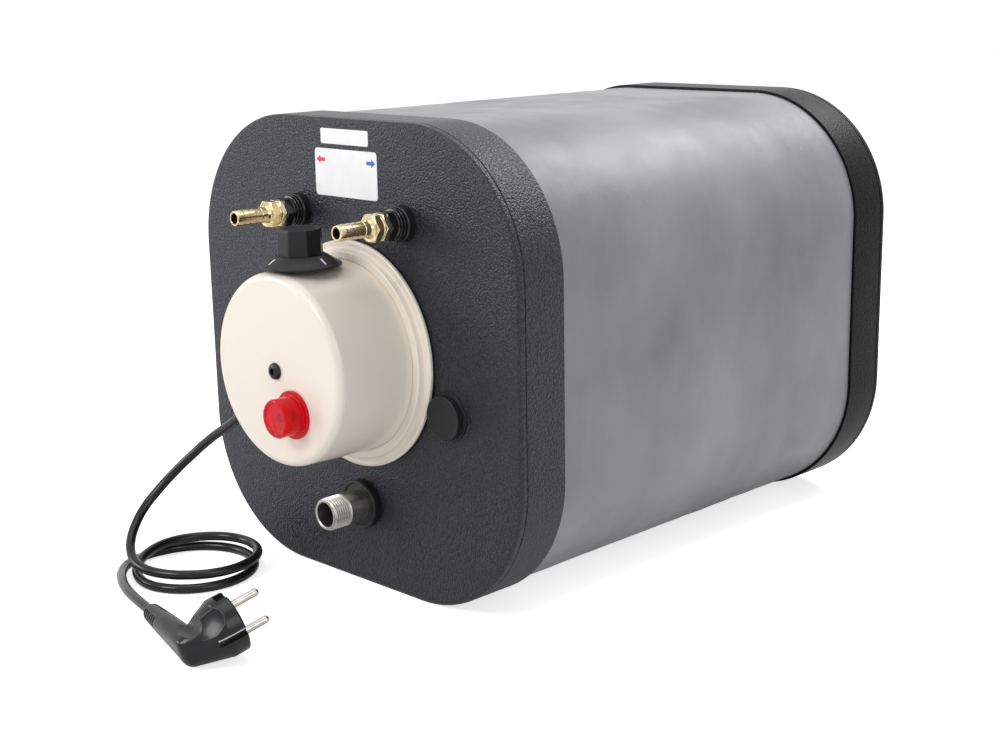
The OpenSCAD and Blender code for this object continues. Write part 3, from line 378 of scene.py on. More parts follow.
# Cord: the route from the strain relief through the two loops to the plug
CORD_D = 6.3
PLUG_FACE = np.array([44.8, -131.3 + FACE_Y, 23.0])
PLUG_HEADING, PLUG_PITCH = math.radians(-13), math.radians(17.5)
ELBOW_DEPTH, BOOT_L, BOOT_ROOT = 29.8, 61.8, 35.0
AHEAD_FLAT = np.array([-math.sin(PLUG_HEADING), math.cos(PLUG_HEADING), 0])
UP = np.array([0, 0, 1.0])
PLUG_X = np.array([math.cos(PLUG_HEADING), math.sin(PLUG_HEADING), 0])
PLUG_Z = AHEAD_FLAT * math.cos(PLUG_PITCH) + UP * math.sin(PLUG_PITCH)
PLUG_Y = AHEAD_FLAT * math.sin(PLUG_PITCH) - UP * math.cos(PLUG_PITCH)
PLUG = np.eye(4)
PLUG[:3, 0], PLUG[:3, 1], PLUG[:3, 2], PLUG[:3, 3] = PLUG_X, PLUG_Y, PLUG_Z, PLUG_FACE

GLAND_ANGLE, GLAND_OUT = math.radians(213), 42
GLAND_DIR = np.array([math.cos(GLAND_ANGLE), 0, math.sin(GLAND_ANGLE)])
GLAND_AXIS = np.array([CUP_X, FACE_Y - GLAND_OUT, CUP_Z])
RELIEF_ROOT, RELIEF_L = 63.614, 24.0
RELIEF_TIP = GLAND_AXIS + (RELIEF_ROOT + RELIEF_L) * GLAND_DIR
COIL_CENTRE, COIL_START, COIL_END, COIL_R = (-91.5, -61.0), 310, 585, 38.0
COIL_FLOOR, COIL_LAYER = 3.35, 7.3
COIL_SHIFT, COIL_SWELL, COIL_OPENING = -6.0, 2.0, 5.0
# Degrees along the coil between which it shifts, swells, opens and comes down to the floor
SHIFT_SPAN, SWELL_SPAN, OPENING_SPAN, DROP_SPAN = (160, 400), (220, 340), (440, 640), (220, 330)
COIL_STEP = 15


def ease(t, a, b):
    """0 up to a, 1 from b on, and a smooth step between."""
    s = min(1.0, max(0.0, (t - a) / (b - a)))
    return s * s * (3 - 2 * s)


def coil_point(t):
    """A point on the coil, t degrees from where it starts."""
    angle = math.radians(COIL_START + t)
    r = COIL_R + COIL_SWELL * ease(t, *SWELL_SPAN) + COIL_OPENING * ease(t, *OPENING_SPAN)
    return np.array([COIL_CENTRE[0] + r * math.cos(angle),
                     COIL_CENTRE[1] + COIL_SHIFT * ease(t, *SHIFT_SPAN) + r * math.sin(angle) + FACE_Y,
                     COIL_FLOOR + COIL_LAYER * (1 - ease(t, *DROP_SPAN))])


def unit(v):
    return v / np.linalg.norm(v)


# The cord's points before and after the coil, with y counted from the front face
CORD_ROUTE = [[-77.8, -42, 98.8], [-96.2, -43, 87.5], [-114.4, -47.1, 72.9], [-126.8, -55, 59.1],
              [-132.8, -64.6, 47.6], [-134.3, -75.1, 37.5], [-130.6, -85.7, 27.8],
              [-124.6, -92.9, 21.7], [-116.8, -98.4, 17.1], [-107, -102.1, 13.7],
              [-96.6, -103, 11.8], [-85.3, -101, 11]]
TAIL_ROUTE = [[-134.4, -80.9, 3.4], [-127.9, -94.1, 4.4], [-114, -107.6, 6.1], [-94.4, -119.9, 8.6],
              [-75.1, -129.1, 10.7], [-58.1, -135.3, 12.2], [-41.1, -140.3, 13.4]]
to_row = np.array([0, FACE_Y, 0])
coil_in = coil_point(0) - CORD_D * unit(coil_point(1) - coil_point(0))
level = (1, 1, 0)
coil_out = coil_point(COIL_END)
coil_out = coil_out + CORD_D * unit((coil_out - coil_point(COIL_END - 1)) * level)
boot_tip = PLUG_FACE - ELBOW_DEPTH * PLUG_Z - BOOT_L * PLUG_X
SOCKET = 8.0
route = [RELIEF_TIP - SOCKET * GLAND_DIR, RELIEF_TIP]
route += [np.array(p) + to_row for p in CORD_ROUTE] + [coil_in]
route += [coil_point(t) for t in range(0, COIL_END + 1, COIL_STEP)] + [coil_out]
route += [np.array(p) + to_row for p in TAIL_ROUTE] + [boot_tip, boot_tip + SOCKET * PLUG_X]
curve = bpy.data.curves.new("mains_lead", "CURVE")
curve.dimensions = "3D"
curve.bevel_depth = CORD_D / 2 * MM
curve.bevel_resolution = 5
curve.resolution_u = 6
curve.use_fill_caps = True
spline = curve.splines.new("BEZIER")
spline.bezier_points.add(len(route) - 1)
for point, at in zip(spline.bezier_points, route):
    point.co = Vector(at * MM)
    point.handle_left_type = point.handle_right_type = "AUTO"
curve.materials.append(MATS["cord"])
lead = bpy.data.objects.new("mains_lead", curve)
scene.collection.objects.link(lead)
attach(lead, "heater")
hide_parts("mains_cord", "cord_coil", "cord_tail")


# Plug: a collar round the pins, a body that runs back to an elbow, and a slotted boot on the cord
def blob(size, centre, power=2.0, rings=28, segs=56):
    """Points on an ellipsoid, squarer with a larger power."""
    def bent(v):
        return math.copysign(abs(v) ** (2 / power), v)
    points = []
    for i in range(rings + 1):
        a = -math.pi / 2 + math.pi * i / rings
        for k in range(segs):
            b = 2 * math.pi * k / segs
            wide = bent(math.cos(a))
            points.append((wide * bent(math.cos(b)), wide * bent(math.sin(b)), bent(math.sin(a))))
    return list(np.array(points) * size + np.array(centre))


def circle(r, centre, axis_x, axis_y, segs=64):
    """Points on a circle, or on an ellipse where the axes differ in length."""
    centre, axis_x, axis_y = np.array(centre), np.array(axis_x), np.array(axis_y)
    angles = [2 * math.pi * k / segs for k in range(segs)]
    return [centre + r * (math.cos(a) * axis_x + math.sin(a) * axis_y) for a in angles]


def hull(points):
    work = bmesh.new()
    for p in points:
        work.verts.new(tuple(p))
    result = bmesh.ops.convex_hull(work, input=work.verts)
    gone = result["geom_interior"] + result["geom_unused"]
    gone = {part for part in gone if isinstance(part, bmesh.types.BMVert)}
    bmesh.ops.delete(work, geom=list(gone), context="VERTS")
    mesh = bpy.data.meshes.new("hull")
    work.to_mesh(mesh)
    work.free()
    return mesh


def joined(meshes):
    work = bmesh.new()
    for mesh in meshes:
        work.from_mesh(mesh)
    result = bpy.data.meshes.new("joined")
    work.to_mesh(result)
    work.free()
    return result


def melted(mesh, voxel, smooth):
    """One skin over meshes that overlap, smoothed."""
    body = loose(mesh)
    skin = body.modifiers.new("skin", "REMESH")
    skin.mode = "VOXEL"
    skin.voxel_size = voxel
    soft = body.modifiers.new("soft", "SMOOTH")
    soft.factor = 0.5
    soft.iterations = smooth
    return evaluated(body)


PLUG_R, COLLAR_L, BOOT_ROOT_R, BOOT_TIP_R = 18.5, 11.0, 7.2, 5.6
SOLO = np.eye(4)
elbow = blob((9.0, 10.6, 8.0), (0, 2.2, -ELBOW_DEPTH), 2.4)
collar_line = fillet([(0, 0), (PLUG_R, 0, 0.9), (PLUG_R, -COLLAR_L, 0.5), (0, -COLLAR_L)])
collar = turned(collar_line, SOLO, 96, False)
shoulder = hull(elbow + circle(PLUG_R - 0.25, (0, 0, -10.5), (1, 0, 0), (0, 1, 0))
                + circle(1.0, (0, 0.8, -16.5), (17.2, 0, 0), (0, 15.4, 0)))
wrist = hull(blob((8.0, 8.2, 7.7), (-2, 0.5, -ELBOW_DEPTH), 4.0)
             + circle(BOOT_ROOT_R, (-BOOT_ROOT - 2, 0, -ELBOW_DEPTH), (0, 1, 0), (0, 0, 1)))
skin = melted(joined([collar, shoulder, wrist]), 0.6, 3)
PANEL_WAY, PANEL_R, PANEL_DEPTH = unit(np.array([0.58, -0.7, -0.4])), 36.0, 2.3
panel_mid = np.array([10.6, -11.0, -17.6])
panel = hull(blob((PANEL_R,) * 3, panel_mid + (PANEL_R - PANEL_DEPTH) * PANEL_WAY, 2.0, 64, 128))
saddle = hull(blob((34, 10.0, 8.5), (0, -16.6, -27.5), 2.0, 48, 96))
skin = melted(without(skin, [panel, saddle]), 0.45, 2)
notches = [box((7.6, 6.0, 8.4), (0, s * (PLUG_R + 0.4), -3.0), SOLO) for s in (-1, 1)]
slots = [box((4.2, 4.6, 20.5), (s * 17.6, 0, -7.8), SOLO) for s in (-1, 1)]
skin = without(skin, notches + slots)
skin.transform(Matrix(PLUG.tolist()))
plug_body = piece("plug_shell", skin, MATS["plug"], ["plug_body"], sharp=40)

on_boot = np.eye(4)
on_boot[:3, :3] = np.array([PLUG_Y, -PLUG_Z, -PLUG_X]).T
on_boot[:3, 3] = PLUG_FACE - ELBOW_DEPTH * PLUG_Z
SLOTS, SLOT_PITCH, SLOT_W, SLOT_DEPTH = 6, 3.3, 1.7, 1.5
slot_start = BOOT_L - 2.6 - SLOT_PITCH * (SLOTS - 1) - SLOT_W


def boot():
    """Taper with a rounded tip; its slots run round both sides and leave a spine above and below."""
    bore, tip = 3.2, BOOT_L - 0.2
    ends = fillet([(bore, tip), (BOOT_TIP_R - 0.2, tip, 1.6), (BOOT_TIP_R + 0.2, BOOT_L - 4, 0)], 6)
    line = [(bore, BOOT_ROOT - 4), (BOOT_ROOT_R, BOOT_ROOT - 4), (BOOT_ROOT_R + 0.1, BOOT_ROOT + 0.5)]
    steps = 96
    z0, z1 = BOOT_ROOT + 1.0, BOOT_L - 2.2
    for k in range(steps + 1):
        z = z0 + (z1 - z0) * k / steps
        line.append((BOOT_ROOT_R + (BOOT_TIP_R + 0.2 - BOOT_ROOT_R) * (z - z0) / (z1 - z0), z))
    line += list(reversed(ends[:-1]))

    def form(i, a, r):
        z = line[i][1] - slot_start
        if not 0 <= z <= SLOT_PITCH * (SLOTS - 1) + SLOT_W or r < 4:
            return r
        at, slope = z % SLOT_PITCH, 0.35
        inside = 0.0
        if at < SLOT_W:
            inside = min(1.0, max(0.0, at / slope), max(0.0, (SLOT_W - at) / slope))
        return r - SLOT_DEPTH * inside * ease(abs(math.sin(a)), 0.42, 0.6)
    return turned(line, on_boot, 96, True, form)


boot_piece = piece("plug_boot", boot(), MATS["plug"], sharp=45)

# The earth springs: a strip along one side of each slot, bowed outwards
strips = []
for s in (-1, 1):
    points, n = [], 15
    for i in range(n):
        w = i / (n - 1)
        bow = w + 0.25 * math.sin(math.pi * w)
        for dx, y in ((15.6, -2.2), (16.3 + bow, -2.2), (16.6 + bow, -1.9), (16.6 + bow, -1.1),
                      (16.3 + bow, -0.8), (15.6, -0.8)):
            points.append((s * dx, y, -17.6 + 17.4 * w))
    m = 6
    faces = [tuple(range(m)), tuple((n - 1) * m + k for k in reversed(range(m)))]
    faces += bands(m, n)
    strips.append(mesh_of(placed(points, PLUG), faces))
clips = piece("earth_springs", joined(strips), MATS["nickel"], ["plug_earth_clips"], sharp=30)


# Covers: a rounded square tray with a fine bead round its face, and the face's holes
LIP = 38.0


def outline(inset, count=40):
    """Points round the casing, inset from its outer face, in the front's x and y about its middle."""
    half = CASE_W / 2 - inset
    return rounded(half, half, CASE_R - inset, count)


def hole(r, x, z):
    """A cutter through the front cover."""
    behind, before = -6, 4
    line = [(0.0, behind), (r, behind), (r, before), (0.0, before)]
    return turned(line, front(x, z), 72, False)


def cover(place, holes):
    """A tray from (inset, z) points: its lip, the bead's groove, the edge and the face, outside and in."""
    outer = fillet([(2.0, -LIP), (0.0, -LIP, 0.5), (0.0, -5.9), (0.55, -5.55, 0.15), (0.55, -5.05, 0.15),
                    (0.0, -4.7, 0.2), (0.0, 0.0, 3.6), (12.0, 0.0)], 6)
    inner = [(2.0, -5.2), (2.2, -4.2), (2.9, -3.4), (4.0, -3.0), (12.0, -3.0)]
    n = len(outline(0))
    levels = list(reversed(inner)) + outer
    points = [(x, y, z) for inset, z in levels for x, y in outline(inset)]
    last = (len(levels) - 1) * n
    faces = bands(n, len(levels)) + [tuple(range(n)), tuple(last + k for k in reversed(range(n)))]
    mesh = mesh_of(placed(points, place), faces)
    return without(mesh, holes) if holes else mesh


holes = [hole(52.0, CUP_X, CUP_Z)] + [hole(9.5, x, HOSE_Z) for x in HOSE_X.values()]
holes += [hole(13.0, *DRAIN_AT), hole(11.0, *BLANK_AT)]
piece("front_tray", cover(front(0, MID_Z), holes), MATS["cover"], ["front_cover"], sharp=40)
rear = np.array([[-1, 0, 0, 0], [0, 0, 1, FACE_Y + CASE_L], [0, 1, 0, MID_Z], [0, 0, 0, 1]])
# The rear tray wears the darker copy of the cover material: painted shade
piece("rear_tray", cover(rear, []), REAR_PAINTED_SHADE, ["rear_cover"], sharp=40)


# Jacket: a sheet, slack by a fraction of a millimetre between the covers
JACKET_INSET, JACKET_T = 2.1, 1.0
UNDER_COVER, SHEET_FROM, FREE_FROM, FREE_SPAN = 5.0, 36.5, 40, 14


def slack(x, y, d):
    """How far the sheet stands off its flat form at a place; it sags more than it bulges."""
    at = Vector((x * 0.021, y * 0.021, d * 0.05))
    return 0.34 * noise.noise(at) + 0.1 * noise.noise(at * 3.1 + Vector((7, 3, 1))) - 0.2


def jacket_skin():
    shown = np.linspace(SHEET_FROM, CASE_L - SHEET_FROM, 150)
    depths = np.concatenate([[UNDER_COVER], shown, [CASE_L - UNDER_COVER]])
    outer, inner = (np.array(outline(inset, 36)) for inset in (JACKET_INSET, JACKET_INSET + JACKET_T))
    n, rows = len(outer), len(depths)
    points = []
    for loop, sign in ((outer, 1), (inner, 0)):
        for d in depths:
            ends = (d - FREE_FROM) / FREE_SPAN, (CASE_L - FREE_FROM - d) / FREE_SPAN
            free = min(1.0, max(0.0, ends[0]), max(0.0, ends[1]))
            for x, y in loop:
                way = Vector((x, y, 0)).normalized()
                move = sign * free * slack(x, y, d)
                points.append((x + way.x * move, y + way.y * move, -d))
    faces = bands(n, rows) + bands(n, rows, rows * n)
    for i in (0, rows - 1):
        for k in range(n):
            a, b = i * n + k, i * n + (k + 1) % n
            faces.append((a, b, rows * n + b, rows * n + a))
    return mesh_of(placed(points, front(0, MID_Z)), faces)


piece("jacket_sheet", jacket_skin(), MATS["jacket"], ["jacket"], sharp=50)


# Hose tails, couplings and grommets
def capped(apothem, sides, edge):
    """Radius of a ring kept inside a polygon of that apothem."""
    def limit(angle, r):
        return min(r, apothem * polygon_factor(angle, sides, edge))
    return limit


TAIL_APOTHEM, COUPLING_APOTHEM = 8.0, 8.49
HEX_TAIL = capped(TAIL_APOTHEM, 6, 160)
HEX_COUPLING = capped(COUPLING_APOTHEM, 6, 120)


def nut_line(apothem, z0, z1, chamfer, steps=4):
    """Line of a hexagon's side from z0 to z1 with both its ends turned off."""
    corner = apothem / math.cos(math.pi / 6)
    low = apothem * 0.985
    edge = [(low + (corner - low) * k / steps, chamfer * k / steps) for k in range(steps + 1)]
    return [(r, z0 + z) for r, z in edge] + [(r, z1 - z) for r, z in reversed(edge)]


def hose_tail():
    """Line and form of a barbed tail with two hexagons."""
    line = [(3.4, 51.7), (3.4, 16.0), (5.5, 16.0), (5.5, 17.0)]
    first = len(line)
    line += nut_line(TAIL_APOTHEM, 17.0, 20.2, 0.7)
    mid = len(line)
    line += fillet([(7.3, 20.2), (7.1, 20.4, 0.2), (6.9, 21.1, 0.3), (7.1, 21.8, 0.2), (7.3, 22.0)], 3)
    second = len(line)
    line += nut_line(TAIL_APOTHEM, 22.0, 27.0, 0.9)
    last = len(line)
    first_barb, barb_pitch, barb_count = 33.0, 4.6, 4
    barbs = [(6.2, 27.0), (5.6, 27.6, 0.5), (5.0, 29.0, 1.0), (4.95, 32.6, 0.4), (4.7, first_barb, 0.2)]
    for i in range(barb_count):
        z = first_barb + barb_pitch * i
        barbs += [(5.05, z + 0.5, 0.4), (4.65, z + 4.5, 0.4)]
    barbs += [(4.6, 51.5, 0.3), (4.25, 52.0, 0.25), (3.7, 52.0)]
    line += fillet(barbs, 3)

    def form(i, a, r):
        return HEX_TAIL(a - math.pi / 6, r) if first <= i < mid or second <= i < last else r
    return line, form


def coupling():
    """Line and form of a coupling: two ribs and a hexagon."""
    line = [(7.6, 5.5), (8.6, 5.5)]
    for i in range(2):
        z = 5.5 + 2.4 * i
        line += fillet([(9.0, z), (9.8, z, 0.35), (9.8, z + 1.4, 0.35), (9.0, z + 1.5),
                        (9.0, z + 2.4)], 3)
    first = len(line)
    line += nut_line(COUPLING_APOTHEM, 11.0, 17.0, 1.0)
    last = len(line)
    line += [(8.0, 17.0), (5.6, 17.0), (5.6, 13.6), (7.6, 13.6)]

    def form(i, a, r):
        return HEX_COUPLING(a - math.pi / 6, r) if first <= i < last else r
    return line, form


def grommet_line(collar, hole, bore):
    """Line round a grommet: its outer collar with a raised rim, the hole's neck and the inner collar."""
    return fillet([(bore, 5.4), (bore + 0.9, 5.5, 0.3), (bore + 1.3, 5.0, 0.3),
                   (collar - 1.7, 4.6, 0.4), (collar - 1.4, 5.5, 0.35), (collar - 0.5, 5.5, 0.5),
                   (collar, 4.6, 0.6), (collar, 0.02, 0.2),
                   (hole, 0.02), (hole, -3.0), (collar, -3.0), (collar, -5.0, 0.4), (bore, -5.0)], 4)


for side, x in HOSE_X.items():
    here = front(x, HOSE_Z)
    line, form = hose_tail()
    piece(side + "_tail", turned(line, here, 96, True, form), MATS["brass"],
          [side + "_hose_tail"], sharp=28)
    line, form = coupling()
    piece(side + "_joint", turned(line, here, 96, True, form), MATS["black_gloss"],
          [side + "_coupling"], sharp=30)
    piece(side + "_bush", turned(grommet_line(11.2, 9.4, 7.6), here, 96), MATS["seal"],
          [side + "_grommet"], sharp=40)


# Drain: a plain land, a pipe thread of eight turns and the bore
def drain():
    pitch, turns, start, depth = 1.814, 8, 18.5, 1.16
    crest_r, pipe_r, bore, pipe_end = 10.48, 9.88, 8.0, -46.0
    end = start + pitch * turns
    line = [(bore, end - 0.5), (bore, pipe_end), (pipe_r, pipe_end), (pipe_r, 5.5), (crest_r, 5.5),
            (crest_r, start - 0.4)]
    first = len(line)
    count = 12 * turns
    line += [(crest_r, start + pitch * turns * k / count) for k in range(count + 1)]
    last = len(line)
    line += [(9.1, end), (8.5, end)]

    def form(i, a, r):
        if not first <= i < last:
            return r
        z = line[i][1] - start
        phase = (z / pitch - a / (2 * math.pi)) % 1.0
        crest = abs(2 * phase - 1)
        crest = min(1.0, max(0.0, (crest - 0.12) / 0.76))
        fade = min(1.0, max(0.0, z / pitch / 1.2)) if z < pitch * 2 else 1.0
        lead_in = min(1.0, max(0.0, (end - start - z) / pitch))
        top = r - 0.9 * (1 - lead_in)
        return top - depth * (1 - crest) * fade * (0.25 + 0.75 * lead_in)
    return line, form


line, form = drain()
piece("drain_stub", turned(line, front(*DRAIN_AT), 120, True, form), MATS["stainless"],
      ["drain_pipe"], sharp=38)
piece("drain_bush", turned(grommet_line(16.0, 12.9, 9.98), front(*DRAIN_AT), 96), MATS["seal"],
      ["drain_grommet"], sharp=40)
blank_line = fillet([(0.0, 5.4), (9.0, 5.55), (12.2, 6.0, 0.6), (13.8, 6.0, 1.5), (13.8, 1.0, 0.25),
                     (15.3, 1.0, 0.45), (15.3, 0.02), (10.9, 0.02), (10.9, -3.0), (12.0, -3.0),
                     (12.0, -4.0, 0.3), (10.6, -5.0), (0.0, -5.0)], 5)
piece("blank_cap", turned(blank_line, front(*BLANK_AT), 96, False), MATS["black_plastic"],
      ["blanking_plug"], sharp=35)


# Terminal cover's base ring: a flange, a soft step and a lip that closes on the cover's foot
ring_line = fillet([(56.2, 1.02), (72.2, 1.02, 0.2), (72.6, 1.5, 0.3), (72.6, 3.2, 1.0),
                    (71.6, 3.75, 0.6), (70.4, 3.75, 0.4), (69.6, 3.5, 0.4), (67.3, 3.4, 0.9),
                    (66.8, 8.0, 1.3), (62.0, 8.0, 0.5), (61.14, 7.5, 0.1), (61.14, 6.9), (61.4, 6.6),
                    (61.4, 3.02), (56.2, 3.02)], 6)
piece("ring_moulding", turned(ring_line, front(CUP_X, CUP_Z), 192), MATS["ivory"],
      ["cover_base_ring"], sharp=48)


# Terminal cover's fittings: screw, lamp lens, knob and strain relief
def screw():
    """A domed head with a hexagon socket, and its shank."""
    here = front(CUP_X, CUP_Z)
    head = fillet([(0.0, 67.0), (2.6, 67.0, 2.0), (4.6, 66.3, 1.2), (5.2, 64.9, 0.5), (5.2, 64.02, 0.2),
                   (2.0, 64.02), (2.0, 50.6), (1.2, 50.0), (0.0, 50.0)], 5)
    body = turned(head, here, 64, False)
    socket_line = [(0.0, 65.2), (2.2, 65.2), (2.2, 66.6), (2.6, 67.4), (0.0, 67.4)]
    return without(body, [turned(socket_line, here @ spun(0.3), 6, False)])


piece("cup_screw", screw(), MATS["black_metal"], ["cover_screw"], sharp=30)
LAMP = front(CUP_X + 16, CUP_Z - 24.5)
lens_line = fillet([(10.0, 64.02), (15.0, 64.02, 0.2), (15.0, 66.0, 0.7), (12.6, 66.2, 0.3),
                    (12.1, 66.8, 0.4), (12.0, 77.6, 0.2), (11.2, 78.9, 1.0), (9.4, 79.0, 0.5),
                    (8.6, 78.4, 0.6), (0.0, 78.2)], 5)
lens_in = [(0.0, 76.4), (8.2, 76.4), (9.6, 75.6), (10.0, 74.6), (10.0, 64.02)]
piece("lamp_cap", turned(lens_line + lens_in, LAMP, 72, False), MATS["lens"], ["lamp_lens"],
      sharp=40)

KNOB_OUT = 41
KNOB = np.array([[1, 0, 0, CUP_X], [0, 1, 0, FACE_Y - KNOB_OUT], [0, 0, 1, CUP_Z], [0, 0, 0, 1]])
RIM, SKIRT, GRIP = 61.8, 7.0, 16.0
# The skirt's slope: its outer and inner radius, and its outer edge's height over the rim
SLOPE_OUT, SLOPE_IN, SLOPE_RISE = 23.6, 15.4, 1.9


def knob():
    """A sloping skirt and an eight-sided grip, hollow underneath."""
    foot, top = RIM + SKIRT, RIM + SKIRT + GRIP
    skirt = fillet([(12.8, foot - 3.4), (22.3, RIM + 0.4, 0.5), (23.6, RIM, 0.4), (25.0, RIM, 0.4),
                    (25.0, RIM + 1.3, 0.5), (SLOPE_OUT, RIM + SLOPE_RISE, 0.6), (SLOPE_IN, foot, 0.8),
                    (14.6, foot)], 4)
    first = len(skirt)
    grip = [(14.6, foot + 0.01), (14.6, foot + 0.6)]
    grip += [(14.55 - 0.5 * k / 6, foot + 0.6 + (GRIP - 2.0) * k / 6) for k in range(7)]
    edge = fillet([(14.05, top - 1.4), (13.95, top, 1.1), (12.2, top)], 5)
    cap = fillet([(12.2, top), (11.0, top, 0.3), (10.4, top - 0.5, 0.4), (0.0, top - 0.5)], 4)
    last = first + len(grip) + len(edge)
    line = skirt + grip + edge + cap[1:]
    line += [(0.0, foot + 12.0), (3.1, foot + 12.0), (3.1, foot - 3.0), (12.8, foot - 3.0)]

    def form(i, a, r):
        if not first <= i < last:
            return r
        z = line[i][1]
        apothem = 13.25 - 0.46 * max(0.0, z - foot) / GRIP
        if z > top - 1.5:
            apothem -= max(0.0, 14.1 - r)
        return min(r + 3, apothem * polygon_factor(a, 8, 90))
    return turned(line, KNOB, 192, True, form)


piece("knob_moulding", knob(), MATS["black_plastic"], ["thermostat_knob"], "knob",
      sharp=34)
MARK_R, MARK_ANGLES = 19.8, (-98.0, 4.0)
slope = math.atan2(SKIRT - SLOPE_RISE, SLOPE_OUT - SLOPE_IN)
mark_z = RIM + SLOPE_RISE + (SLOPE_OUT - MARK_R) * math.tan(slope)
tilt = np.array([[math.cos(slope), 0, math.sin(slope), MARK_R], [0, 1, 0, 0],
                 [-math.sin(slope), 0, math.cos(slope), mark_z], [0, 0, 0, 1]])
marks = [box((5.6, 1.0, 0.36), (0, 0, 0), KNOB @ spun(math.radians(angle)) @ tilt, 0.94)
         for angle in MARK_ANGLES]
piece("knob_marks", joined(marks), MARK, (), "knob", sharp=20)

GLAND = np.eye(4)
GLAND[:3, 2], GLAND[:3, 0] = GLAND_DIR, (0, -1, 0)
GLAND[:3, 1] = np.cross(GLAND[:3, 2], GLAND[:3, 0])
GLAND[:3, 3] = GLAND_AXIS
line = [(3.2, 53.9), (8.4, 53.9, 0.4), (8.4, 56.9, 0.4), (6.5, 56.9), (6.5, RELIEF_ROOT - 3.0),
        (8.5, RELIEF_ROOT - 3.0, 0.3), (8.5, RELIEF_ROOT, 0.8), (6.7, RELIEF_ROOT, 0.3)]
RIBS = 6
step = RELIEF_L / RIBS
for i in range(RIBS):
    r = 6.5 - 2.35 * i / (RIBS - 1)
    z = RELIEF_ROOT + i * step
    line += [(r, z + 0.2, 0.3), (r - 0.15, z + 2.7, 0.5), (r - 0.85, z + 2.9, 0.2),
             (r - 0.85, z + 3.8, 0.2)]
tip = RELIEF_ROOT + RELIEF_L - 0.1
line += [(3.5, tip), (3.2, tip)]
piece("strain_relief", turned(fillet(line, 3), GLAND, 64), MATS["cord"], ["cable_gland"],
      sharp=45)


# Plates on the front: bare white where the photograph has labels, with a generic pair of flow arrows
PLATE_LIFT, PLATE_T = 0.02, 0.3


def plate(x0, x1, z0, z1, radius):
    ring = rounded((x1 - x0) / 2, (z1 - z0) / 2, radius, 8)
    return slab(ring, front((x0 + x1) / 2, (z0 + z1) / 2), PLATE_LIFT, PLATE_LIFT + PLATE_T)


def slab(ring, place, z0, z1, edge=0.08):
    """A flat piece with the ring's outline and a small chamfer round its upper face."""
    n = len(ring)
    middle = np.mean(ring, axis=0)
    inner = [tuple(np.array(p) - edge * unit(np.array(p) - middle)) for p in ring]
    levels = ((ring, z0), (ring, z1 - edge), (inner, z1))
    points = [(x, y, z) for level, z in levels for x, y in level]
    faces = [tuple(reversed(range(n))), tuple(2 * n + k for k in range(n))] + bands(n, 3)
    return mesh_of(placed(points, place), faces)


piece("upper_plate", plate(-20.6, 24.5, 284.0, 293.5, 1.2), LABEL, sharp=25)
piece("flow_plate", plate(-27.0, 32.0, 251.5, 281.0, 2.4), LABEL, sharp=25)
ARROW = [(-4.2, 0.0), (-0.6, 2.7), (-0.6, 1.15), (4.0, 1.15), (4.0, -1.15), (-0.6, -1.15), (-0.6, -2.7)]
ARROW_Z = 274.0
for name, x, way, mat in (("arrow_out", -21.0, 1, ARROW_RED), ("arrow_in", 26.5, -1, ARROW_BLUE)):
    ring = [(way * u, way * v) for u, v in ARROW]
    piece(name, slab(ring, front(x, ARROW_Z), 0.3, 0.42, 0.03), mat, sharp=20)


# Floor and light
FLOOR_HALF = 6
FLOOR_SEEN, FLOOR_MIRRORED = 0.7, 0.15
FILL, WHITE = 0.36, 1.0


def background_rays(tree, seen, mirrored):
    """A strength: seen for camera rays, mirrored for glossy and transmission rays, and 0 for diffuse rays."""
    path = tree.nodes.new("ShaderNodeLightPath")
    total = None
    for ray, strength in (("Is Camera Ray", seen), ("Is Glossy Ray", mirrored),
                          ("Is Transmission Ray", mirrored)):
        part = tree.nodes.new("ShaderNodeMath")
        part.operation = "MULTIPLY_ADD"
        tree.links.new(path.outputs[ray], part.inputs[0])
        part.inputs[1].default_value = strength
        if total:
            tree.links.new(total, part.inputs[2])
        else:
            part.inputs[2].default_value = 0.0
        total = part.outputs[0]
    return total


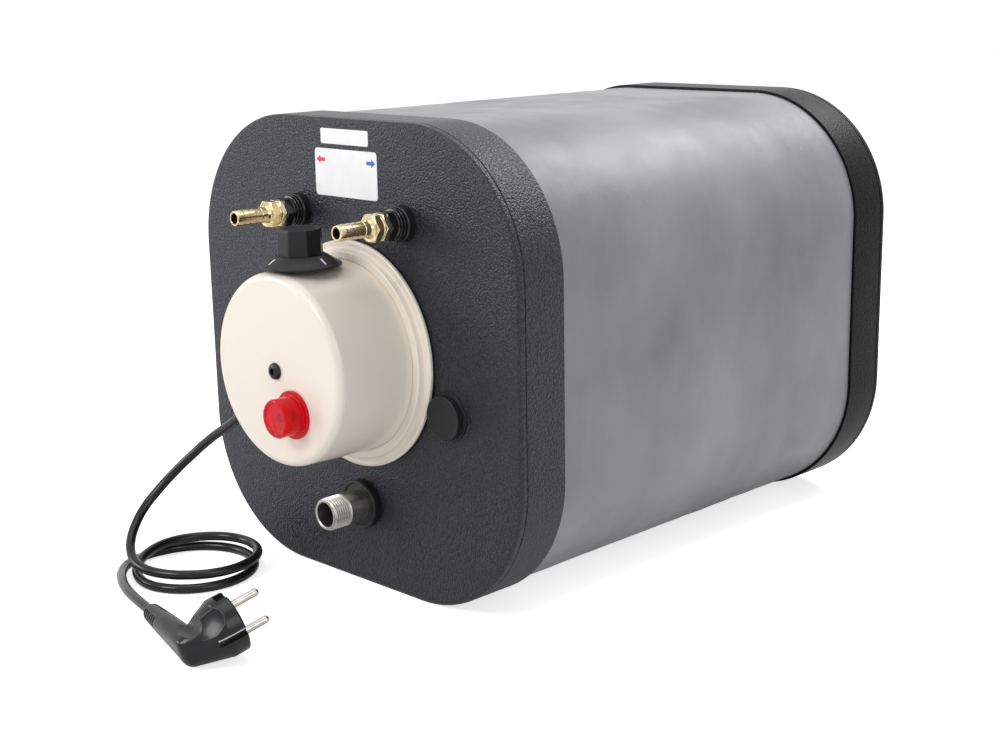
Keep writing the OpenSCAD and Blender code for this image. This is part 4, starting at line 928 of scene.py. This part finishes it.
floor_mesh = bpy.data.meshes.new("floor")
corners = ((-1, -1), (1, -1), (1, 1), (-1, 1))
floor_mesh.from_pydata([(x * FLOOR_HALF, y * FLOOR_HALF, 0) for x, y in corners], [], [(0, 1, 2, 3)])
floor = bpy.data.objects.new("floor", floor_mesh)
scene.collection.objects.link(floor)
pale = bpy.data.materials.new("pale_floor")
pale.use_nodes = True
tree = pale.node_tree
tree.nodes.clear()
out = tree.nodes.new("ShaderNodeOutputMaterial")
matte = linked(tree, "ShaderNodeBsdfDiffuse", Color=(0.9, 0.9, 0.9, 1))
strength = background_rays(tree, FLOOR_SEEN, FLOOR_MIRRORED)
glow = linked(tree, "ShaderNodeEmission", Color=(1, 1, 1, 1), Strength=strength)
both = tree.nodes.new("ShaderNodeAddShader")
tree.links.new(matte.outputs[0], both.inputs[0])
tree.links.new(glow.outputs[0], both.inputs[1])
tree.links.new(both.outputs[0], out.inputs["Surface"])
floor_mesh.materials.append(pale)

world = bpy.data.worlds.new("studio")
scene.world = world
world.use_nodes = True
tree = world.node_tree
tree.nodes.clear()
out = tree.nodes.new("ShaderNodeOutputWorld")
fill = linked(tree, "ShaderNodeBackground", Color=(1, 1, 1, 1), Strength=FILL)
back = linked(tree, "ShaderNodeBackground", Color=(1, 1, 1, 1), Strength=WHITE)
mix = tree.nodes.new("ShaderNodeMixShader")
tree.links.new(background_rays(tree, 1.0, 1.0), mix.inputs[0])
tree.links.new(fill.outputs[0], mix.inputs[1])
tree.links.new(back.outputs[0], mix.inputs[2])
tree.links.new(mix.outputs[0], out.inputs["Surface"])


def lamp(name, at, aim, size, power):
    """An area lamp: its place, aim and size in metres, and its power in watts."""
    data = bpy.data.lights.new(name, "AREA")
    data.shape = "RECTANGLE"
    data.size, data.size_y = size
    data.energy = power
    made = bpy.data.objects.new(name, data)
    scene.collection.objects.link(made)
    made.location = at
    made.rotation_euler = (Vector(aim) - Vector(at)).to_track_quat("-Z", "Y").to_euler()


lamp("key", (-0.2, -1.75, 1.35), (0.0, -0.15, 0.15), (0.8, 0.8), 16.0)
lamp("sheen", (-1.3, -1.2, 0.55), (0.0, -0.15, 0.2), (0.6, 0.6), 7.0)
lamp("right", (1.75, -0.5, 0.95), (0.0, 0.0, 0.15), (0.9, 0.9), 5.0)
lamp("rear_top", (0.3, 1.0, 1.35), (0.0, 0.0, 0.2), (0.9, 0.7), 14.0)
lamp("overhead", (0.0, -0.1, 1.7), (0.0, 0.0, 0.2), (1.2, 1.2), 7.0)
